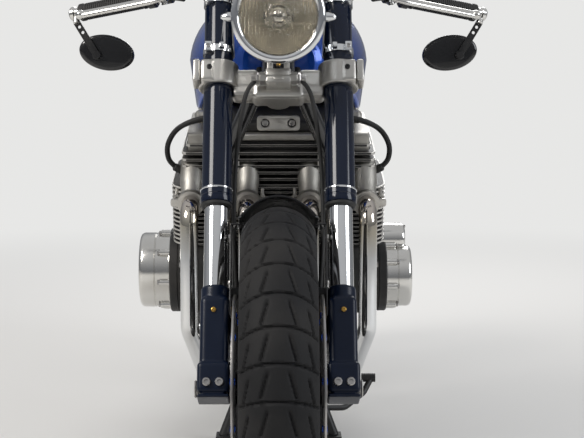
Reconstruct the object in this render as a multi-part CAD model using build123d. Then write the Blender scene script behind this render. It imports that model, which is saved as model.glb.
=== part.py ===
from build123d import *
import os
from math import cos, radians, sin

# Cafe racer motorcycle on its centre stand. Millimetres, +Z up, the front wheel towards -Y,
# the rider's left at +X. Everything ahead of the seat is placed from the front axle, the tail from
# the rear axle, and the finished pieces are centred over the origin on the floor.

# Wheels and stance
WHEELBASE = 1470
BEAD_R = 218
FRONT_TYRE_WALL = 82
FRONT_TYRE_W = 120
REAR_TYRE_WALL = 94
REAR_TYRE_W = 156
REAR_LIFT = 22
FRONT_RIM_HALF_W = 46
REAR_RIM_HALF_W = 62
BEAD_FLANGE_H = 12
RIM_DEPTH = 20
RIM_INSET = 14
RUN_GAP = 0.06
SEAT_GAP = 0.05
CLEARANCE = 6

WHEEL_SPOKES = 5
Y_FRONT = -741
Y_REAR = Y_FRONT + WHEELBASE
BEAD_FLANGE_R = BEAD_R + BEAD_FLANGE_H
FRONT_TYRE_R = BEAD_R + FRONT_TYRE_WALL
REAR_TYRE_R = BEAD_R + REAR_TYRE_WALL
Z_FRONT = FRONT_TYRE_R
Z_REAR = REAR_TYRE_R + REAR_LIFT

# Front end: s is the distance along the raked fork legs from the front axle
RAKE = 25
YOKE_OFFSET = 30
LEG_X = 107
OUTER_TUBE_R = 26
OUTER_TUBE_BORE_R = 21.5
COLLAR_R = 28
COLLAR_S = 323
COLLAR_H = 28
LEG_TOP_S = 815
SLIDER_R = 20.5
SLIDER_OVERLAP = 62
FOOT_TOP_S = 174
FOOT_W = 48
FOOT_DEPTH = 54
FOOT_SOCKET = 40
LUG_W = 54
LUG_DEPTH = 64
LUG_TOP_S = 40
LUG_BOTTOM_S = -20
LUG_SLIT_S = -14.5
FRONT_AXLE_R = 11
DISC_X = 72
DISC_T = 5
FRONT_DISC_R = 155
DISC_BAND = 34
DISC_SLOT = 12
FRONT_HUB_R = 34
REAR_HUB_R = 44
REAR_HUB_HALF_W = 92
STEM_R = 15
HEAD_TUBE_R = 30
HEAD_TUBE_LOW_S = 556
HEAD_TUBE_TOP_S = 762
LOWER_YOKE_S = 541
LOWER_YOKE_H = 45
LOWER_WEB_S = 520
LOWER_WEB_H = 30
TOP_YOKE_S = 773
TOP_YOKE_H = 28
CLAMP_WALL = 9
EAR_REACH = 44
CLIP_S = 744
CLIP_H = 34

# Headlamp, bars and what is on them
LAMP_Y = -630
LAMP_Z = Z_FRONT + 615
LAMP_R = 81
LAMP_GLASS_R = 66
LAMP_RIM_T = 13
LAMP_DEPTH = 128
BAR_R = 11
BAR_START = (128, -433, Z_FRONT + 676)
BAR_END = (384, -347, Z_FRONT + 632)
GRIP_R = 16.5
GRIP_FROM = 0.46
GRIP_TO = 0.95
MIRROR_SIZE = (107, 12, 68)
MIRROR_CENTRE = (322, -338, Z_FRONT + 557)

# Engine: upright tables are in a frame that leans forward about the crank
CRANK_Y = -141
CRANK_Z = 420
ENGINE_LEAN = 12
CASE_HALF_W = 195
CASE_BOTTOM_Z = 342
SUMP_HALF_W = 80
SUMP_BOTTOM_Z = 265
GEARBOX_HALF_W = 60
BARREL_LOW = 90
BARREL_TOP = 208
BARREL_HALF_W = 210
BARREL_DEPTH = 230
BARREL_FINS = 14
FIN_T = 3
HEAD_TOP = 312
HEAD_HALF_W = 180
HEAD_FINS = 6
HEAD_FIN_PITCH = 13
CAM_TOP = 356
CAM_HALF_W = 145
HEADER_R = 17.5
OUTER_PORT_X = 169
INNER_PORT_X = 60

# Frame, swingarm and stand
FRAME_TUBE_R = 15
RAIL_X = 100
RAIL_Z = 268
PIVOT_Y = 150
PIVOT_Z = 335
PIVOT_R = 9
PLATE_X = 74
PLATE_T = 12
SPINE_R = 24
SEAT_RAIL_X = 100
SEAT_RAIL_Z = 780
SEAT_RAIL_R = 12
SEAT_RAIL_END = Y_REAR - 79
CROSS_TUBE_Y = 112
RAIL_KNEE_Y = 190
ARM_X = 131
ARM_W = 30
ARM_H = 45
REAR_AXLE_R = 10
CHAIN_X = 100
CHAIN_W = 16
CHAIN_H = 14
CHAIN_PITCH = 15.875
FRONT_SPROCKET_Y = 75
FRONT_SPROCKET_Z = 350
FRONT_TEETH = 17
REAR_TEETH = 42
STAND_Y = 120
STAND_Z = 240
STAND_LEG_R = 11
STAND_LEG_X = 97
STAND_FOOT_X = 125
STAND_PIN_R = 8
STAND_FOOT_Y = 70

# Bodywork
TANK_BOTTOM_Z = 752
TANK_HALF_W = 177
SEAT_BOTTOM_Z = SEAT_RAIL_Z + 16
SEAT_H = 62
SEAT_HALF_W = 112
SEAT_FRONT = 100
SEAT_END = Y_REAR - 259
PLATE_HOLES = 80
PLATE_HOLE_R = 3.25
PLATE_HOLE_Z = SEAT_RAIL_Z - 50
BOBBIN_R = 4
BOBBIN_DEPTH = 18
BOBBIN_BACK = 44

sin_rake = sin(radians(RAKE))
cos_rake = cos(radians(RAKE))
fork = Plane(origin=(0, Y_FRONT, Z_FRONT), x_dir=(1, 0, 0), z_dir=(0, sin_rake, cos_rake)).location
engine = Plane(
    origin=(0, CRANK_Y, CRANK_Z),
    x_dir=(1, 0, 0),
    z_dir=(0, -sin(radians(ENGINE_LEAN)), cos(radians(ENGINE_LEAN))),
).location
SIDES = (-1, 1)
CENTRING = -(Y_FRONT - FRONT_TYRE_R + Y_REAR + REAR_TYRE_R) / 2


def fork_point(x, back, s):
    """World point of a place on the raked front end."""
    return (x, Y_FRONT + s * sin_rake + back * cos_rake, Z_FRONT + s * cos_rake - back * sin_rake)


def engine_point(x, back, up):
    """World point of a place on the leaning engine."""
    lean = radians(ENGINE_LEAN)
    return (x, CRANK_Y + back * cos(lean) - up * sin(lean), CRANK_Z + back * sin(lean) + up * cos(lean))


def rod(start, end, radius):
    """Round bar between two points."""
    axis = Vector(*end) - Vector(*start)
    return extrude(Plane(origin=start, z_dir=axis) * Circle(radius), axis.length)


def disc(x0, x1, y, z, radius):
    """Round bar along X."""
    return rod((x0, y, z), (x1, y, z), radius)


def bent(points, radius, bend):
    """Round tube along straight runs with one bend radius."""
    path = FilletPolyline(*points, radius=bend)
    return sweep(Plane(origin=path @ 0, z_dir=path % 0) * Circle(radius), path=path)


def block(x0, x1, y0, y1, z0, z1, edge=0):
    """Box between six faces, with rounded edges where edge is given."""
    solid = Pos((x0 + x1) / 2, (y0 + y1) / 2, (z0 + z1) / 2) * Box(x1 - x0, y1 - y0, z1 - z0)
    return fillet(solid.edges(), edge) if edge else solid


def upright_block(x0, x1, y0, y1, z0, z1, corner):
    """Box whose four upright edges are rounded."""
    solid = block(x0, x1, y0, y1, z0, z1)
    return fillet(solid.edges().filter_by(Axis.Z), corner)


def side_plate(points, x0, x1):
    """Flat plate with an outline in Y and Z."""
    face = Plane.YZ.offset(x0) * make_face(Polyline(*points, close=True))
    return extrude(face, x1 - x0)


def ring_about_x(face, y, z):
    """Solid of revolution about a wheel's axle, from a face of x and radius."""
    return Pos(0, y, z) * revolve(face, Axis.X)


def outline_face(*pieces):
    """Flat face inside lines and arcs that join end to end."""
    return make_face([edge for piece in pieces for edge in piece.edges()])


def both(shape):
    """A piece and its mirror image across the middle of the motorcycle."""
    return shape + mirror(shape, Plane.YZ)


def save(node, shape):
    """Write one sub-part."""
    solids = (Pos(0, CENTRING, 0) * shape).solids()
    export_step(solids[0] if len(solids) == 1 else Compound(children=list(solids)), f"parts/{node}.step")


os.makedirs("parts", exist_ok=True)

# Tyres: outlines of x and radius, with a crown, two sidewalls and the beads
# columns: node, half width, outer radius, rim half width, y, z
TYRES = [
    ("front_tyre", FRONT_TYRE_W / 2, FRONT_TYRE_R, FRONT_RIM_HALF_W, Y_FRONT, Z_FRONT),
    ("rear_tyre", REAR_TYRE_W / 2, REAR_TYRE_R, REAR_RIM_HALF_W, Y_REAR, Z_REAR),
]
for node, half, outer, rim_half, y, z in TYRES:
    shoulder = outer - half * 0.62
    crown = ThreePointArc((-half, shoulder), (0, outer), (half, shoulder))
    bead_top = BEAD_FLANGE_R + 3
    wall_mid = (half - 1, (shoulder + bead_top) / 2)
    right = ThreePointArc((half, shoulder), wall_mid, (rim_half, bead_top))
    left = ThreePointArc((-rim_half, bead_top), (-wall_mid[0], wall_mid[1]), (-half, shoulder))
    foot = Polyline((rim_half, bead_top), (rim_half, BEAD_R), (-rim_half, BEAD_R), (-rim_half, bead_top))
    save(node, ring_about_x(outline_face(crown, right, foot, left), y, z))

# Cast wheels: rim, hub and spokes in one casting
# columns: node, rim half width, hub radius, hub half width, axle radius, y, z
WHEELS = [
    ("front_wheel", FRONT_RIM_HALF_W, FRONT_HUB_R, DISC_X - DISC_T / 2, FRONT_AXLE_R, Y_FRONT, Z_FRONT),
    ("rear_wheel", REAR_RIM_HALF_W, REAR_HUB_R, REAR_HUB_HALF_W, REAR_AXLE_R, Y_REAR, Z_REAR),
]
for node, half, hub_r, hub_half, axle_r, y, z in WHEELS:
    flange = half + 6
    outline = Polyline(
        (-flange, BEAD_FLANGE_R), (-half - 0.4, BEAD_FLANGE_R), (-half - 0.4, BEAD_R - 0.4),
        (half + 0.4, BEAD_R - 0.4), (half + 0.4, BEAD_FLANGE_R), (flange, BEAD_FLANGE_R),
        (flange, BEAD_R - 5), (half - RIM_INSET, BEAD_R - RIM_DEPTH),
        (-half + RIM_INSET, BEAD_R - RIM_DEPTH), (-flange, BEAD_R - 5), close=True,
    )
    wheel = ring_about_x(outline_face(outline), y, z) + disc(-hub_half, hub_half, y, z, hub_r)
    spoke = loft([
        Plane(origin=(0, 0, hub_r - 6), z_dir=(0, 0, 1)) * RectangleRounded(52, 46, 8),
        Plane(origin=(0, 0, BEAD_R - RIM_DEPTH + 4), z_dir=(0, 0, 1)) * RectangleRounded(34, 30, 8),
    ])
    for index in range(WHEEL_SPOKES):
        wheel += Pos(0, y, z) * Rot(360 / WHEEL_SPOKES * index, 0, 0) * spoke
    save(node, wheel - disc(-hub_half, hub_half, y, z, axle_r + RUN_GAP))

# Brake discs on their carriers
carrier_r = FRONT_DISC_R - DISC_BAND + 3
front_discs = Part()
for side in SIDES:
    rotor = disc(0, DISC_T, 0, 0, FRONT_DISC_R) - disc(0, DISC_T, 0, 0, FRONT_DISC_R - DISC_BAND)
    hat = disc(0, DISC_T, 0, 0, carrier_r) - disc(0, DISC_T, 0, 0, FRONT_AXLE_R + CLEARANCE)
    for index in range(5):
        hat -= Rot(72 * index, 0, 0) * Pos(0, 0, 78) * disc(0, DISC_T, 0, 0, 21)
    front_discs += Pos(side * DISC_X - DISC_T / 2, Y_FRONT, Z_FRONT) * (rotor + hat)
save("front_discs", front_discs)

REAR_DISC_X = -96
REAR_DISC_R = 120
rear_rotor = disc(-DISC_T / 2, DISC_T / 2, 0, 0, REAR_DISC_R) - disc(-DISC_T, DISC_T, 0, 0, 32)
for index in range(5):
    rear_rotor -= Rot(72 * index, 0, 0) * Pos(0, 0, 63) * disc(-DISC_T, DISC_T, 0, 0, 15)
save("rear_disc", Pos(REAR_DISC_X + DISC_T / 2 - 1, Y_REAR, Z_REAR) * rear_rotor)

# Chain and sprockets: pitch radii follow from the pitch and the teeth
front_pitch_r = CHAIN_PITCH / (2 * sin(radians(180 / FRONT_TEETH)))
rear_pitch_r = CHAIN_PITCH / (2 * sin(radians(180 / REAR_TEETH)))
SPROCKET_T = 7


def toothed(teeth, outer, root):
    """Sprocket face with one straight-sided tooth for each chain link."""
    points = []
    for index in range(teeth):
        for share, radius in ((-0.32, root), (-0.14, outer), (0.14, outer), (0.32, root)):
            angle = radians(360 / teeth * (index + share))
            points.append((radius * cos(angle), radius * sin(angle)))
    return make_face(Polyline(*points, close=True))


rear_tip_r = rear_pitch_r - CHAIN_H / 2 - CLEARANCE
sprocket = extrude(Plane.YZ * toothed(REAR_TEETH, rear_tip_r, rear_tip_r - 7), SPROCKET_T)
sprocket -= disc(-1, SPROCKET_T + 1, 0, 0, 30)
for index in range(6):
    sprocket -= Rot(60 * index, 0, 0) * Pos(0, 0, 58) * disc(-1, SPROCKET_T + 1, 0, 0, 14)
save("rear_sprocket", Pos(CHAIN_X - SPROCKET_T / 2, Y_REAR, Z_REAR) * sprocket)


def loop_face(front_r, rear_r):
    """Flat face inside a belt round both sprockets."""
    front = Pos(FRONT_SPROCKET_Y, FRONT_SPROCKET_Z) * Circle(front_r)
    rear = Pos(Y_REAR, Z_REAR) * Circle(rear_r)
    return make_hull([*front.edges(), *rear.edges()])


outer_loop = loop_face(front_pitch_r + CHAIN_H / 2, rear_pitch_r + CHAIN_H / 2)
inner_loop = loop_face(front_pitch_r - CHAIN_H / 2, rear_pitch_r - CHAIN_H / 2)
chain_face = Plane.YZ.offset(CHAIN_X - CHAIN_W / 2) * (outer_loop - inner_loop)
save("drive_chain", extrude(chain_face, CHAIN_W))

# Fork legs, upright in the fork's own frame and then raked
outer = Part()
sliders = Part()
feet = Part()
for side in SIDES:
    leg = Pos(side * LEG_X, 0, 0)
    tube = rod((0, 0, COLLAR_S), (0, 0, LEG_TOP_S), OUTER_TUBE_R)
    tube += rod((0, 0, COLLAR_S), (0, 0, COLLAR_S + COLLAR_H), COLLAR_R)
    tube -= rod((0, 0, COLLAR_S - 1), (0, 0, LEG_TOP_S - 12), OUTER_TUBE_BORE_R)
    outer += leg * tube
    sliders += leg * rod((0, 0, FOOT_TOP_S - FOOT_SOCKET), (0, 0, COLLAR_S + SLIDER_OVERLAP), SLIDER_R)
    foot = upright_block(-FOOT_W / 2, FOOT_W / 2, -FOOT_DEPTH / 2, FOOT_DEPTH / 2, 0, FOOT_TOP_S - 20, 12)
    foot += rod((0, 0, FOOT_TOP_S - 60), (0, 0, FOOT_TOP_S), FOOT_W / 2)
    foot += upright_block(-LUG_W / 2, LUG_W / 2, -LUG_DEPTH / 2, LUG_DEPTH / 2, LUG_BOTTOM_S, LUG_TOP_S, 10)
    inner = -side
    for lug_s in (108, 162):
        lug = block(-9, 9, 20, 36, lug_s - 10, lug_s + 10)
        foot += Pos(inner * (FOOT_W / 2 - 9), 0, 0) * lug
    foot -= rod((0, 0, FOOT_TOP_S - FOOT_SOCKET), (0, 0, FOOT_TOP_S + 1), SLIDER_R + SEAT_GAP)
    foot -= disc(-LUG_W, LUG_W, 0, 0, FRONT_AXLE_R + SEAT_GAP)
    foot -= block(-LUG_W, LUG_W, -LUG_DEPTH, 0, LUG_SLIT_S, LUG_SLIT_S + 2.5)
    feet += leg * foot
save("fork_outers", fork * outer)
save("fork_sliders", fork * sliders)
save("fork_feet", fork * feet)

axle_half = LEG_X + LUG_W / 2 + 4
axle = disc(-axle_half, axle_half, Y_FRONT, Z_FRONT, FRONT_AXLE_R)
axle += both(disc(DISC_X + DISC_T / 2 + 1, LEG_X - LUG_W / 2, Y_FRONT, Z_FRONT, FRONT_AXLE_R + 5))
save("front_axle", axle - disc(-axle_half - 1, axle_half + 1, Y_FRONT, Z_FRONT, 7))

# Front callipers behind the fork feet, each straddling its disc
CALLIPER_S = 136
CALLIPER_BACK = 64
calliper = upright_block(-31, 29, -28, 30, -52, 52, 10)
calliper = fillet(calliper.edges().group_by(Axis.Z)[-1], 6)
calliper += rod((27, -20, -26), (27, 20, -26), 14) + rod((27, -20, 26), (27, 20, 26), 14)
calliper = Pos(DISC_X, CALLIPER_BACK, CALLIPER_S) * calliper
calliper -= disc(DISC_X - DISC_SLOT / 2, DISC_X + DISC_SLOT / 2, 0, 0, FRONT_DISC_R + CLEARANCE)
calliper -= block(0, LEG_X, 0, 36, 60, 200)
front_callipers = fork * both(calliper)
save("front_callipers", front_callipers)

# Short front mudguard on stays from the fork feet
GUARD_GAP = 17
guard_r = FRONT_TYRE_R + GUARD_GAP
guard_half = 66
guard_edge = guard_r - 34
guard_arc = ThreePointArc((-guard_half, guard_edge), (0, guard_r), (guard_half, guard_edge))
guard_top = ThreePointArc((guard_half, guard_edge + 3), (0, guard_r + 4), (-guard_half, guard_edge + 3))
guard_face = outline_face(
    guard_arc, Line(guard_arc @ 1, guard_top @ 0), guard_top, Line(guard_top @ 1, guard_arc @ 0)
)
guard = Pos(0, Y_FRONT, Z_FRONT) * Rot(82, 0, 0) * revolve(guard_face, Axis.X, -88)
stay_x = LEG_X - FOOT_W / 2 - 3.4
stay = block(stay_x, stay_x + 3, -14, 14, 120, guard_edge + 2)
stay += block(guard_half - 6, stay_x + 3, -14, 14, guard_edge - 1, guard_edge + 2)
save("front_mudguard", guard + fork * both(stay))

# Yokes: two clamps joined by a web, with the stem through the middle
clamp_r = OUTER_TUBE_R + CLAMP_WALL


def yoke(clamp_s, clamp_h, web_s, web_h, boss_r):
    """Clamps, web and stem boss of one yoke."""
    plate = block(-LEG_X, LEG_X, -16, 34, web_s, web_s + web_h)
    plate += rod((0, YOKE_OFFSET, web_s), (0, YOKE_OFFSET, web_s + web_h), boss_r)
    for side in SIDES:
        plate += rod((side * LEG_X, 0, clamp_s), (side * LEG_X, 0, clamp_s + clamp_h), clamp_r)
        ear = upright_block(LEG_X - 4, LEG_X + EAR_REACH, -41, 6, clamp_s, clamp_s + clamp_h, 6)
        plate += ear if side > 0 else mirror(ear, Plane.YZ)
        slit_x = side * (LEG_X + OUTER_TUBE_R)
        plate -= block(slit_x - 1.2, slit_x + 1.2, -60, -4, clamp_s - 1, clamp_s + clamp_h + 1)
        bore_low = (side * LEG_X, 0, web_s - 40)
        plate -= rod(bore_low, (side * LEG_X, 0, clamp_s + clamp_h + 1), OUTER_TUBE_R + SEAT_GAP)
    return plate


lower = yoke(LOWER_YOKE_S, LOWER_YOKE_H, LOWER_WEB_S, LOWER_WEB_H, 33)
lower += both(block(40, LEG_X - 20, -20, 24, LOWER_WEB_S + 10, LOWER_YOKE_S + 20))
lower -= both(rod((LEG_X, 0, 400), (LEG_X, 0, 700), OUTER_TUBE_R + SEAT_GAP))
lower += rod((0, YOKE_OFFSET, LOWER_WEB_S - 10), (0, YOKE_OFFSET, LOWER_WEB_S + 5), 26)
lower += rod((0, YOKE_OFFSET, LOWER_WEB_S), (0, YOKE_OFFSET, TOP_YOKE_S + TOP_YOKE_H + 8), STEM_R)

upper = yoke(TOP_YOKE_S, TOP_YOKE_H, TOP_YOKE_S, TOP_YOKE_H - 4, 30)
upper -= rod((0, YOKE_OFFSET, 700), (0, YOKE_OFFSET, 900), STEM_R + SEAT_GAP)
save("top_yoke", fork * upper)

# Headlamp: bowl, rim and lens, held by two arms from clamps on the fork legs
bowl_outline = [
    Polyline((0, 0), (LAMP_R - 8, 0), (LAMP_R - 8, 16)),
    ThreePointArc((LAMP_R - 8, 16), (LAMP_R * 0.72, LAMP_DEPTH * 0.72), (14, LAMP_DEPTH - LAMP_RIM_T)),
    Polyline((14, LAMP_DEPTH - LAMP_RIM_T), (0, LAMP_DEPTH - LAMP_RIM_T), (0, 0)),
]
bowl = Pos(0, LAMP_Y + LAMP_RIM_T, LAMP_Z) * revolve(outline_face(*bowl_outline), Axis.Y)
rim_outline = Polyline(
    (LAMP_GLASS_R, 0), (LAMP_R - 5, 0), (LAMP_R, 6), (LAMP_R, LAMP_RIM_T + 6),
    (LAMP_R - 7, LAMP_RIM_T + 6), (LAMP_R - 7, LAMP_RIM_T - 1), (LAMP_GLASS_R, LAMP_RIM_T - 1), close=True,
)
lamp_rim = Pos(0, LAMP_Y, LAMP_Z) * revolve(make_face(rim_outline), Axis.Y)
glass_r = LAMP_GLASS_R - 0.5
glass_outline = [
    Polyline((0, LAMP_RIM_T - 1), (glass_r, LAMP_RIM_T - 1), (glass_r, 5)),
    ThreePointArc((glass_r, 5), (glass_r * 0.5, 0), (6, -2)),
    Polyline((6, -2), (0, -2), (0, LAMP_RIM_T - 1)),
]
lens = Pos(0, LAMP_Y + 3, LAMP_Z) * revolve(outline_face(*glass_outline), Axis.Y)
save("headlamp_bowl", bowl - lens - lamp_rim)
save("headlamp_rim", lamp_rim - lens)
save("headlamp_lens", lens)

LAMP_CLAMP_S = 618
LAMP_ARM_Y = LAMP_Y + 52
strap = rod((LEG_X, 0, LAMP_CLAMP_S), (LEG_X, 0, LAMP_CLAMP_S + 26), OUTER_TUBE_R + 5)
strap -= rod((LEG_X, 0, LAMP_CLAMP_S - 1), (LEG_X, 0, LAMP_CLAMP_S + 27), OUTER_TUBE_R + SEAT_GAP)
arm_root = fork_point(LEG_X - 20, -24, LAMP_CLAMP_S + 13)
arm = rod(arm_root, (LAMP_R + 10, LAMP_ARM_Y, LAMP_Z - 8), 6)
arm += disc(LAMP_R + 2, LAMP_R + 16, LAMP_ARM_Y, LAMP_Z, 14)
arm += disc(LAMP_R - 16, LAMP_R + 4, LAMP_ARM_Y, LAMP_Z, 5)
brackets = both(fork * strap + arm) - bowl
save("headlamp_brackets", brackets)

# Lamp and hose block on the front of the lower yoke
bridge = block(-24, 24, -46, -12, LOWER_YOKE_S - 8, LOWER_YOKE_S + 22)
bridge += rod((-33, -34, LOWER_YOKE_S + 6), (33, -34, LOWER_YOKE_S + 6), 12)
bridge += both(block(10, 20, -44, -34, LOWER_YOKE_S + 20, LOWER_YOKE_S + 48))
lower_yoke = fork * (lower + bridge)
save("lower_yoke", lower_yoke)

# Front brake hoses, held from the block on the yoke to each calliper
# columns: x, back, s
HOSE_ROUTE = [
    (33, -34, LOWER_YOKE_S + 6), (54, -34, 536), (66, -14, 480), (75, 26, 424), (79, 44, 340),
    (77, 52, 262), (DISC_X, CALLIPER_BACK, CALLIPER_S + 52),
]
HOSE_R = 4
hose_bends = (18, 50, 50, 80, 90)


def hose(points, radii, radius):
    """Round hose with its own bend radius at each corner."""
    path = FilletPolyline(*points, radius=radii)
    print("hose length", round(path.length), "radii", radii)
    return sweep(Plane(origin=path @ 0, z_dir=path % 0) * Circle(radius), path=path)


hose_points = [fork_point(x, back, s) for x, back, s in HOSE_ROUTE]
save("front_brake_hoses", both(hose(hose_points, hose_bends, HOSE_R)) - lower_yoke - front_callipers)

# Clip-on bars, grips, levers, controls and mirrors
bar_start = Vector(*BAR_START)
bar_run = Vector(*BAR_END) - bar_start
ring = rod((LEG_X, 0, CLIP_S - CLIP_H / 2), (LEG_X, 0, CLIP_S + CLIP_H / 2), OUTER_TUBE_R + 9)
ring -= rod((LEG_X, 0, CLIP_S - CLIP_H), (LEG_X, 0, CLIP_S + CLIP_H), OUTER_TUBE_R + SEAT_GAP)
bar = fork * ring + rod(BAR_START, BAR_END, BAR_R)
bar -= fork * rod((LEG_X, 0, CLIP_S - CLIP_H), (LEG_X, 0, CLIP_S + CLIP_H), OUTER_TUBE_R + SEAT_GAP)
save("clip_on_bars", both(bar))

grip_start = bar_start + bar_run * GRIP_FROM
grip_end = bar_start + bar_run * GRIP_TO
grip = rod(grip_start, grip_end, GRIP_R)
grip -= rod(BAR_START, BAR_END, BAR_R)
save("grips", both(grip))

LEVER_REACH = Vector(0, -52, -8)
perch_at = bar_start + bar_run * 0.3
lever_root = perch_at + LEVER_REACH
lever_tip = bar_start + bar_run * 0.93 + LEVER_REACH * 0.9
lever_way = (lever_tip - lever_root).normalized()
lever = rod(lever_root + lever_way * 12, lever_tip, 6.5)
lever += Pos(*lever_tip) * Sphere(9)
save("levers", both(lever))

control = rod((bar_start + bar_run * 0.22), (bar_start + bar_run * 0.38), 17)
control += rod(perch_at, lever_root, 7)
control += rod(lever_root - Vector(0, 0, 9), lever_root + Vector(0, 0, 9), 10)
control += rod(
    (bar_start + bar_run * 0.39), (bar_start + bar_run * (GRIP_FROM - 0.005)), 19
)
control -= rod(BAR_START, BAR_END, BAR_R)
save("controls", both(control))

mirror_x, mirror_y, mirror_z = MIRROR_CENTRE
egg_w, egg_t, egg_h = MIRROR_SIZE
egg = extrude(Plane.XZ * Ellipse(egg_w / 2, egg_h / 2), egg_t / 2, both=True)
egg = fillet(egg.edges(), 4)
egg = Pos(mirror_x, mirror_y, mirror_z) * Rot(0, 10, 0) * egg
cap_end = Vector(*BAR_END) + bar_run.normalized() * 6
stem = rod(BAR_END, cap_end, 14)
stem += rod((cap_end - bar_run.normalized() * 3), (mirror_x + 22, mirror_y - 4, mirror_z + 2), 5)
save("mirrors", both(egg + stem - bar))

# Gauge behind the headlamp
gauge_at = fork_point(0, -2, TOP_YOKE_S + TOP_YOKE_H + 18)
gauge_plane = Plane(origin=gauge_at, z_dir=(0, sin_rake, cos_rake))
gauge = extrude(gauge_plane * Circle(40), 34, both=False)
gauge = gauge + rod(fork_point(0, -2, TOP_YOKE_S + TOP_YOKE_H), gauge_at, 9)
save("gauge", gauge)

# Engine: crankcase with its sump and gearbox, one closed heavy block
case = upright_block(-CASE_HALF_W, CASE_HALF_W, CRANK_Y - 120, CRANK_Y + 150, CASE_BOTTOM_Z, 470, 30)
case += upright_block(-CASE_HALF_W + 25, CASE_HALF_W - 25, CRANK_Y - 110, CRANK_Y + 110, 460, 560, 30)
case += upright_block(-SUMP_HALF_W, SUMP_HALF_W, CRANK_Y - 150, CRANK_Y + 130, SUMP_BOTTOM_Z, 350, 20)
case += upright_block(-GEARBOX_HALF_W, GEARBOX_HALF_W, CRANK_Y, PIVOT_Y - 45, 300, 470, 20)
case -= engine * block(-300, 300, -300, 300, BARREL_LOW, 400)

# columns: inner x, outer x, y, z, radius, edge
COVERS = [
    (CASE_HALF_W, 273, CRANK_Y, 405, 63, 9),
    (-CASE_HALF_W, -284, CRANK_Y, 418, 77, 9),
]
engine_covers = Part()
for x_in, x_out, y, z, radius, edge in COVERS:
    cover = disc(x_in, x_out, y, z, radius)
    outer_edge = cover.edges().sort_by(lambda e: abs(e.center().X))[-1]
    cover = fillet(outer_edge, edge)
    cover += disc(x_in, x_in + (12 if x_in > 0 else -12), y, z, radius + 10)
    if x_in > 0:
        cover += disc(x_in, 262, y + 20, 480, 33)
    engine_covers += cover
save("engine_covers", engine_covers)

# Finned barrels
barrels = upright_block(-175, 175, -88, 88, BARREL_LOW, BARREL_TOP, 20)
fin_pitch = (BARREL_TOP - BARREL_LOW - FIN_T) / (BARREL_FINS - 1)
for index in range(BARREL_FINS):
    low = BARREL_LOW + index * fin_pitch
    half_depth = BARREL_DEPTH / 2
    barrels += upright_block(-BARREL_HALF_W, BARREL_HALF_W, -half_depth, half_depth, low, low + FIN_T, 35)
PORT_START = (-80, 248)
PORT_END = (-150, 190)
ports = Part()
for x in (OUTER_PORT_X, INNER_PORT_X):
    ports += both(rod((x, *PORT_START), (x, *PORT_END), HEADER_R + 6))
save("barrels", engine * (barrels - ports))

# Cylinder head with its exhaust ports
head = upright_block(-HEAD_HALF_W, HEAD_HALF_W, -92, 92, BARREL_TOP, HEAD_TOP, 14)
for index in range(HEAD_FINS):
    low = BARREL_TOP + index * HEAD_FIN_PITCH
    head += upright_block(-HEAD_HALF_W - 8, HEAD_HALF_W + 8, -112, 104, low, low + FIN_T, 12)
head += ports
INTAKE_UP = 244
INTAKE_BACK = 112
INTAKES = (-144, -50, 50, 144)
for x in INTAKES:
    head += rod((x, 80, INTAKE_UP), (x, INTAKE_BACK, INTAKE_UP), 24)

cam = upright_block(-CAM_HALF_W, CAM_HALF_W, -86, 86, HEAD_TOP, CAM_TOP, 24)
cam = fillet(cam.edges().group_by(Axis.Z)[-1], 12)
head += cam
save("cylinder_head", engine * head)

# Exhaust: four header pipes into one collector, then one silencer on the right
# columns: points of x, y, z after the port, then the bend radius
HEADERS = [
    (169, [(169, -384, 560), (169, -384, 335), (140, -318, 234), (40, -170, 222), (-60, -70, 226)], 34),
    (60, [(60, -384, 560), (60, -384, 290), (52, -300, 226), (-20, -150, 226), (-78, -60, 226)], 34),
    (-60, [(-60, -384, 560), (-60, -384, 290), (-62, -300, 226), (-84, -150, 226), (-92, -60, 226)], 34),
    (-169, [(-169, -384, 560), (-169, -384, 335), (-140, -318, 234), (-118, -170, 222), (-100, -60, 226)], 34),
]
exhaust = Part()
for x, points, bend in HEADERS:
    port = engine_point(x, *PORT_END)
    exhaust += bent([port, *points], HEADER_R, bend)
exhaust += rod((-92, -86, 223), (-95, -10, 222), 29)
exhaust += bent([(-95, -30, 222), (-95, 10, 222), (-192, 100, 240), (-192, 220, 268)], 24, 40)
exhaust += rod((-192, 196, 274), (-192, 560, 330), 42)
exhaust -= rod((-192, 480, 317.6), (-192, 566, 331), 26)
save("exhaust", exhaust - engine * ports)

# Carburettors and air filters behind the head
intakes = Part()
for x in INTAKES:
    intakes += rod((x, INTAKE_BACK, INTAKE_UP), (x, 178, INTAKE_UP), 21)
    intakes += rod((x, 144, INTAKE_UP - 50), (x, 144, INTAKE_UP + 46), 25)
    intakes += rod((x, 178, INTAKE_UP), (x, 240, INTAKE_UP), 33)
intakes += block(INTAKES[0], INTAKES[-1], 136, 152, INTAKE_UP - 20, INTAKE_UP - 12)
save("carburettors", engine * intakes)

# Plug leads at both ends of the head
LEAD_ROUTE = [
    (128, -314, 738), (168, -312, 733), (207, -294, 706), (221, -276, 670), (211, -264, 642), (192, -258, 632),
]
LEAD_R = 5.5
lead = hose(LEAD_ROUTE, (22, 24, 24, 18), LEAD_R)
save("plug_leads", both(lead))

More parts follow.
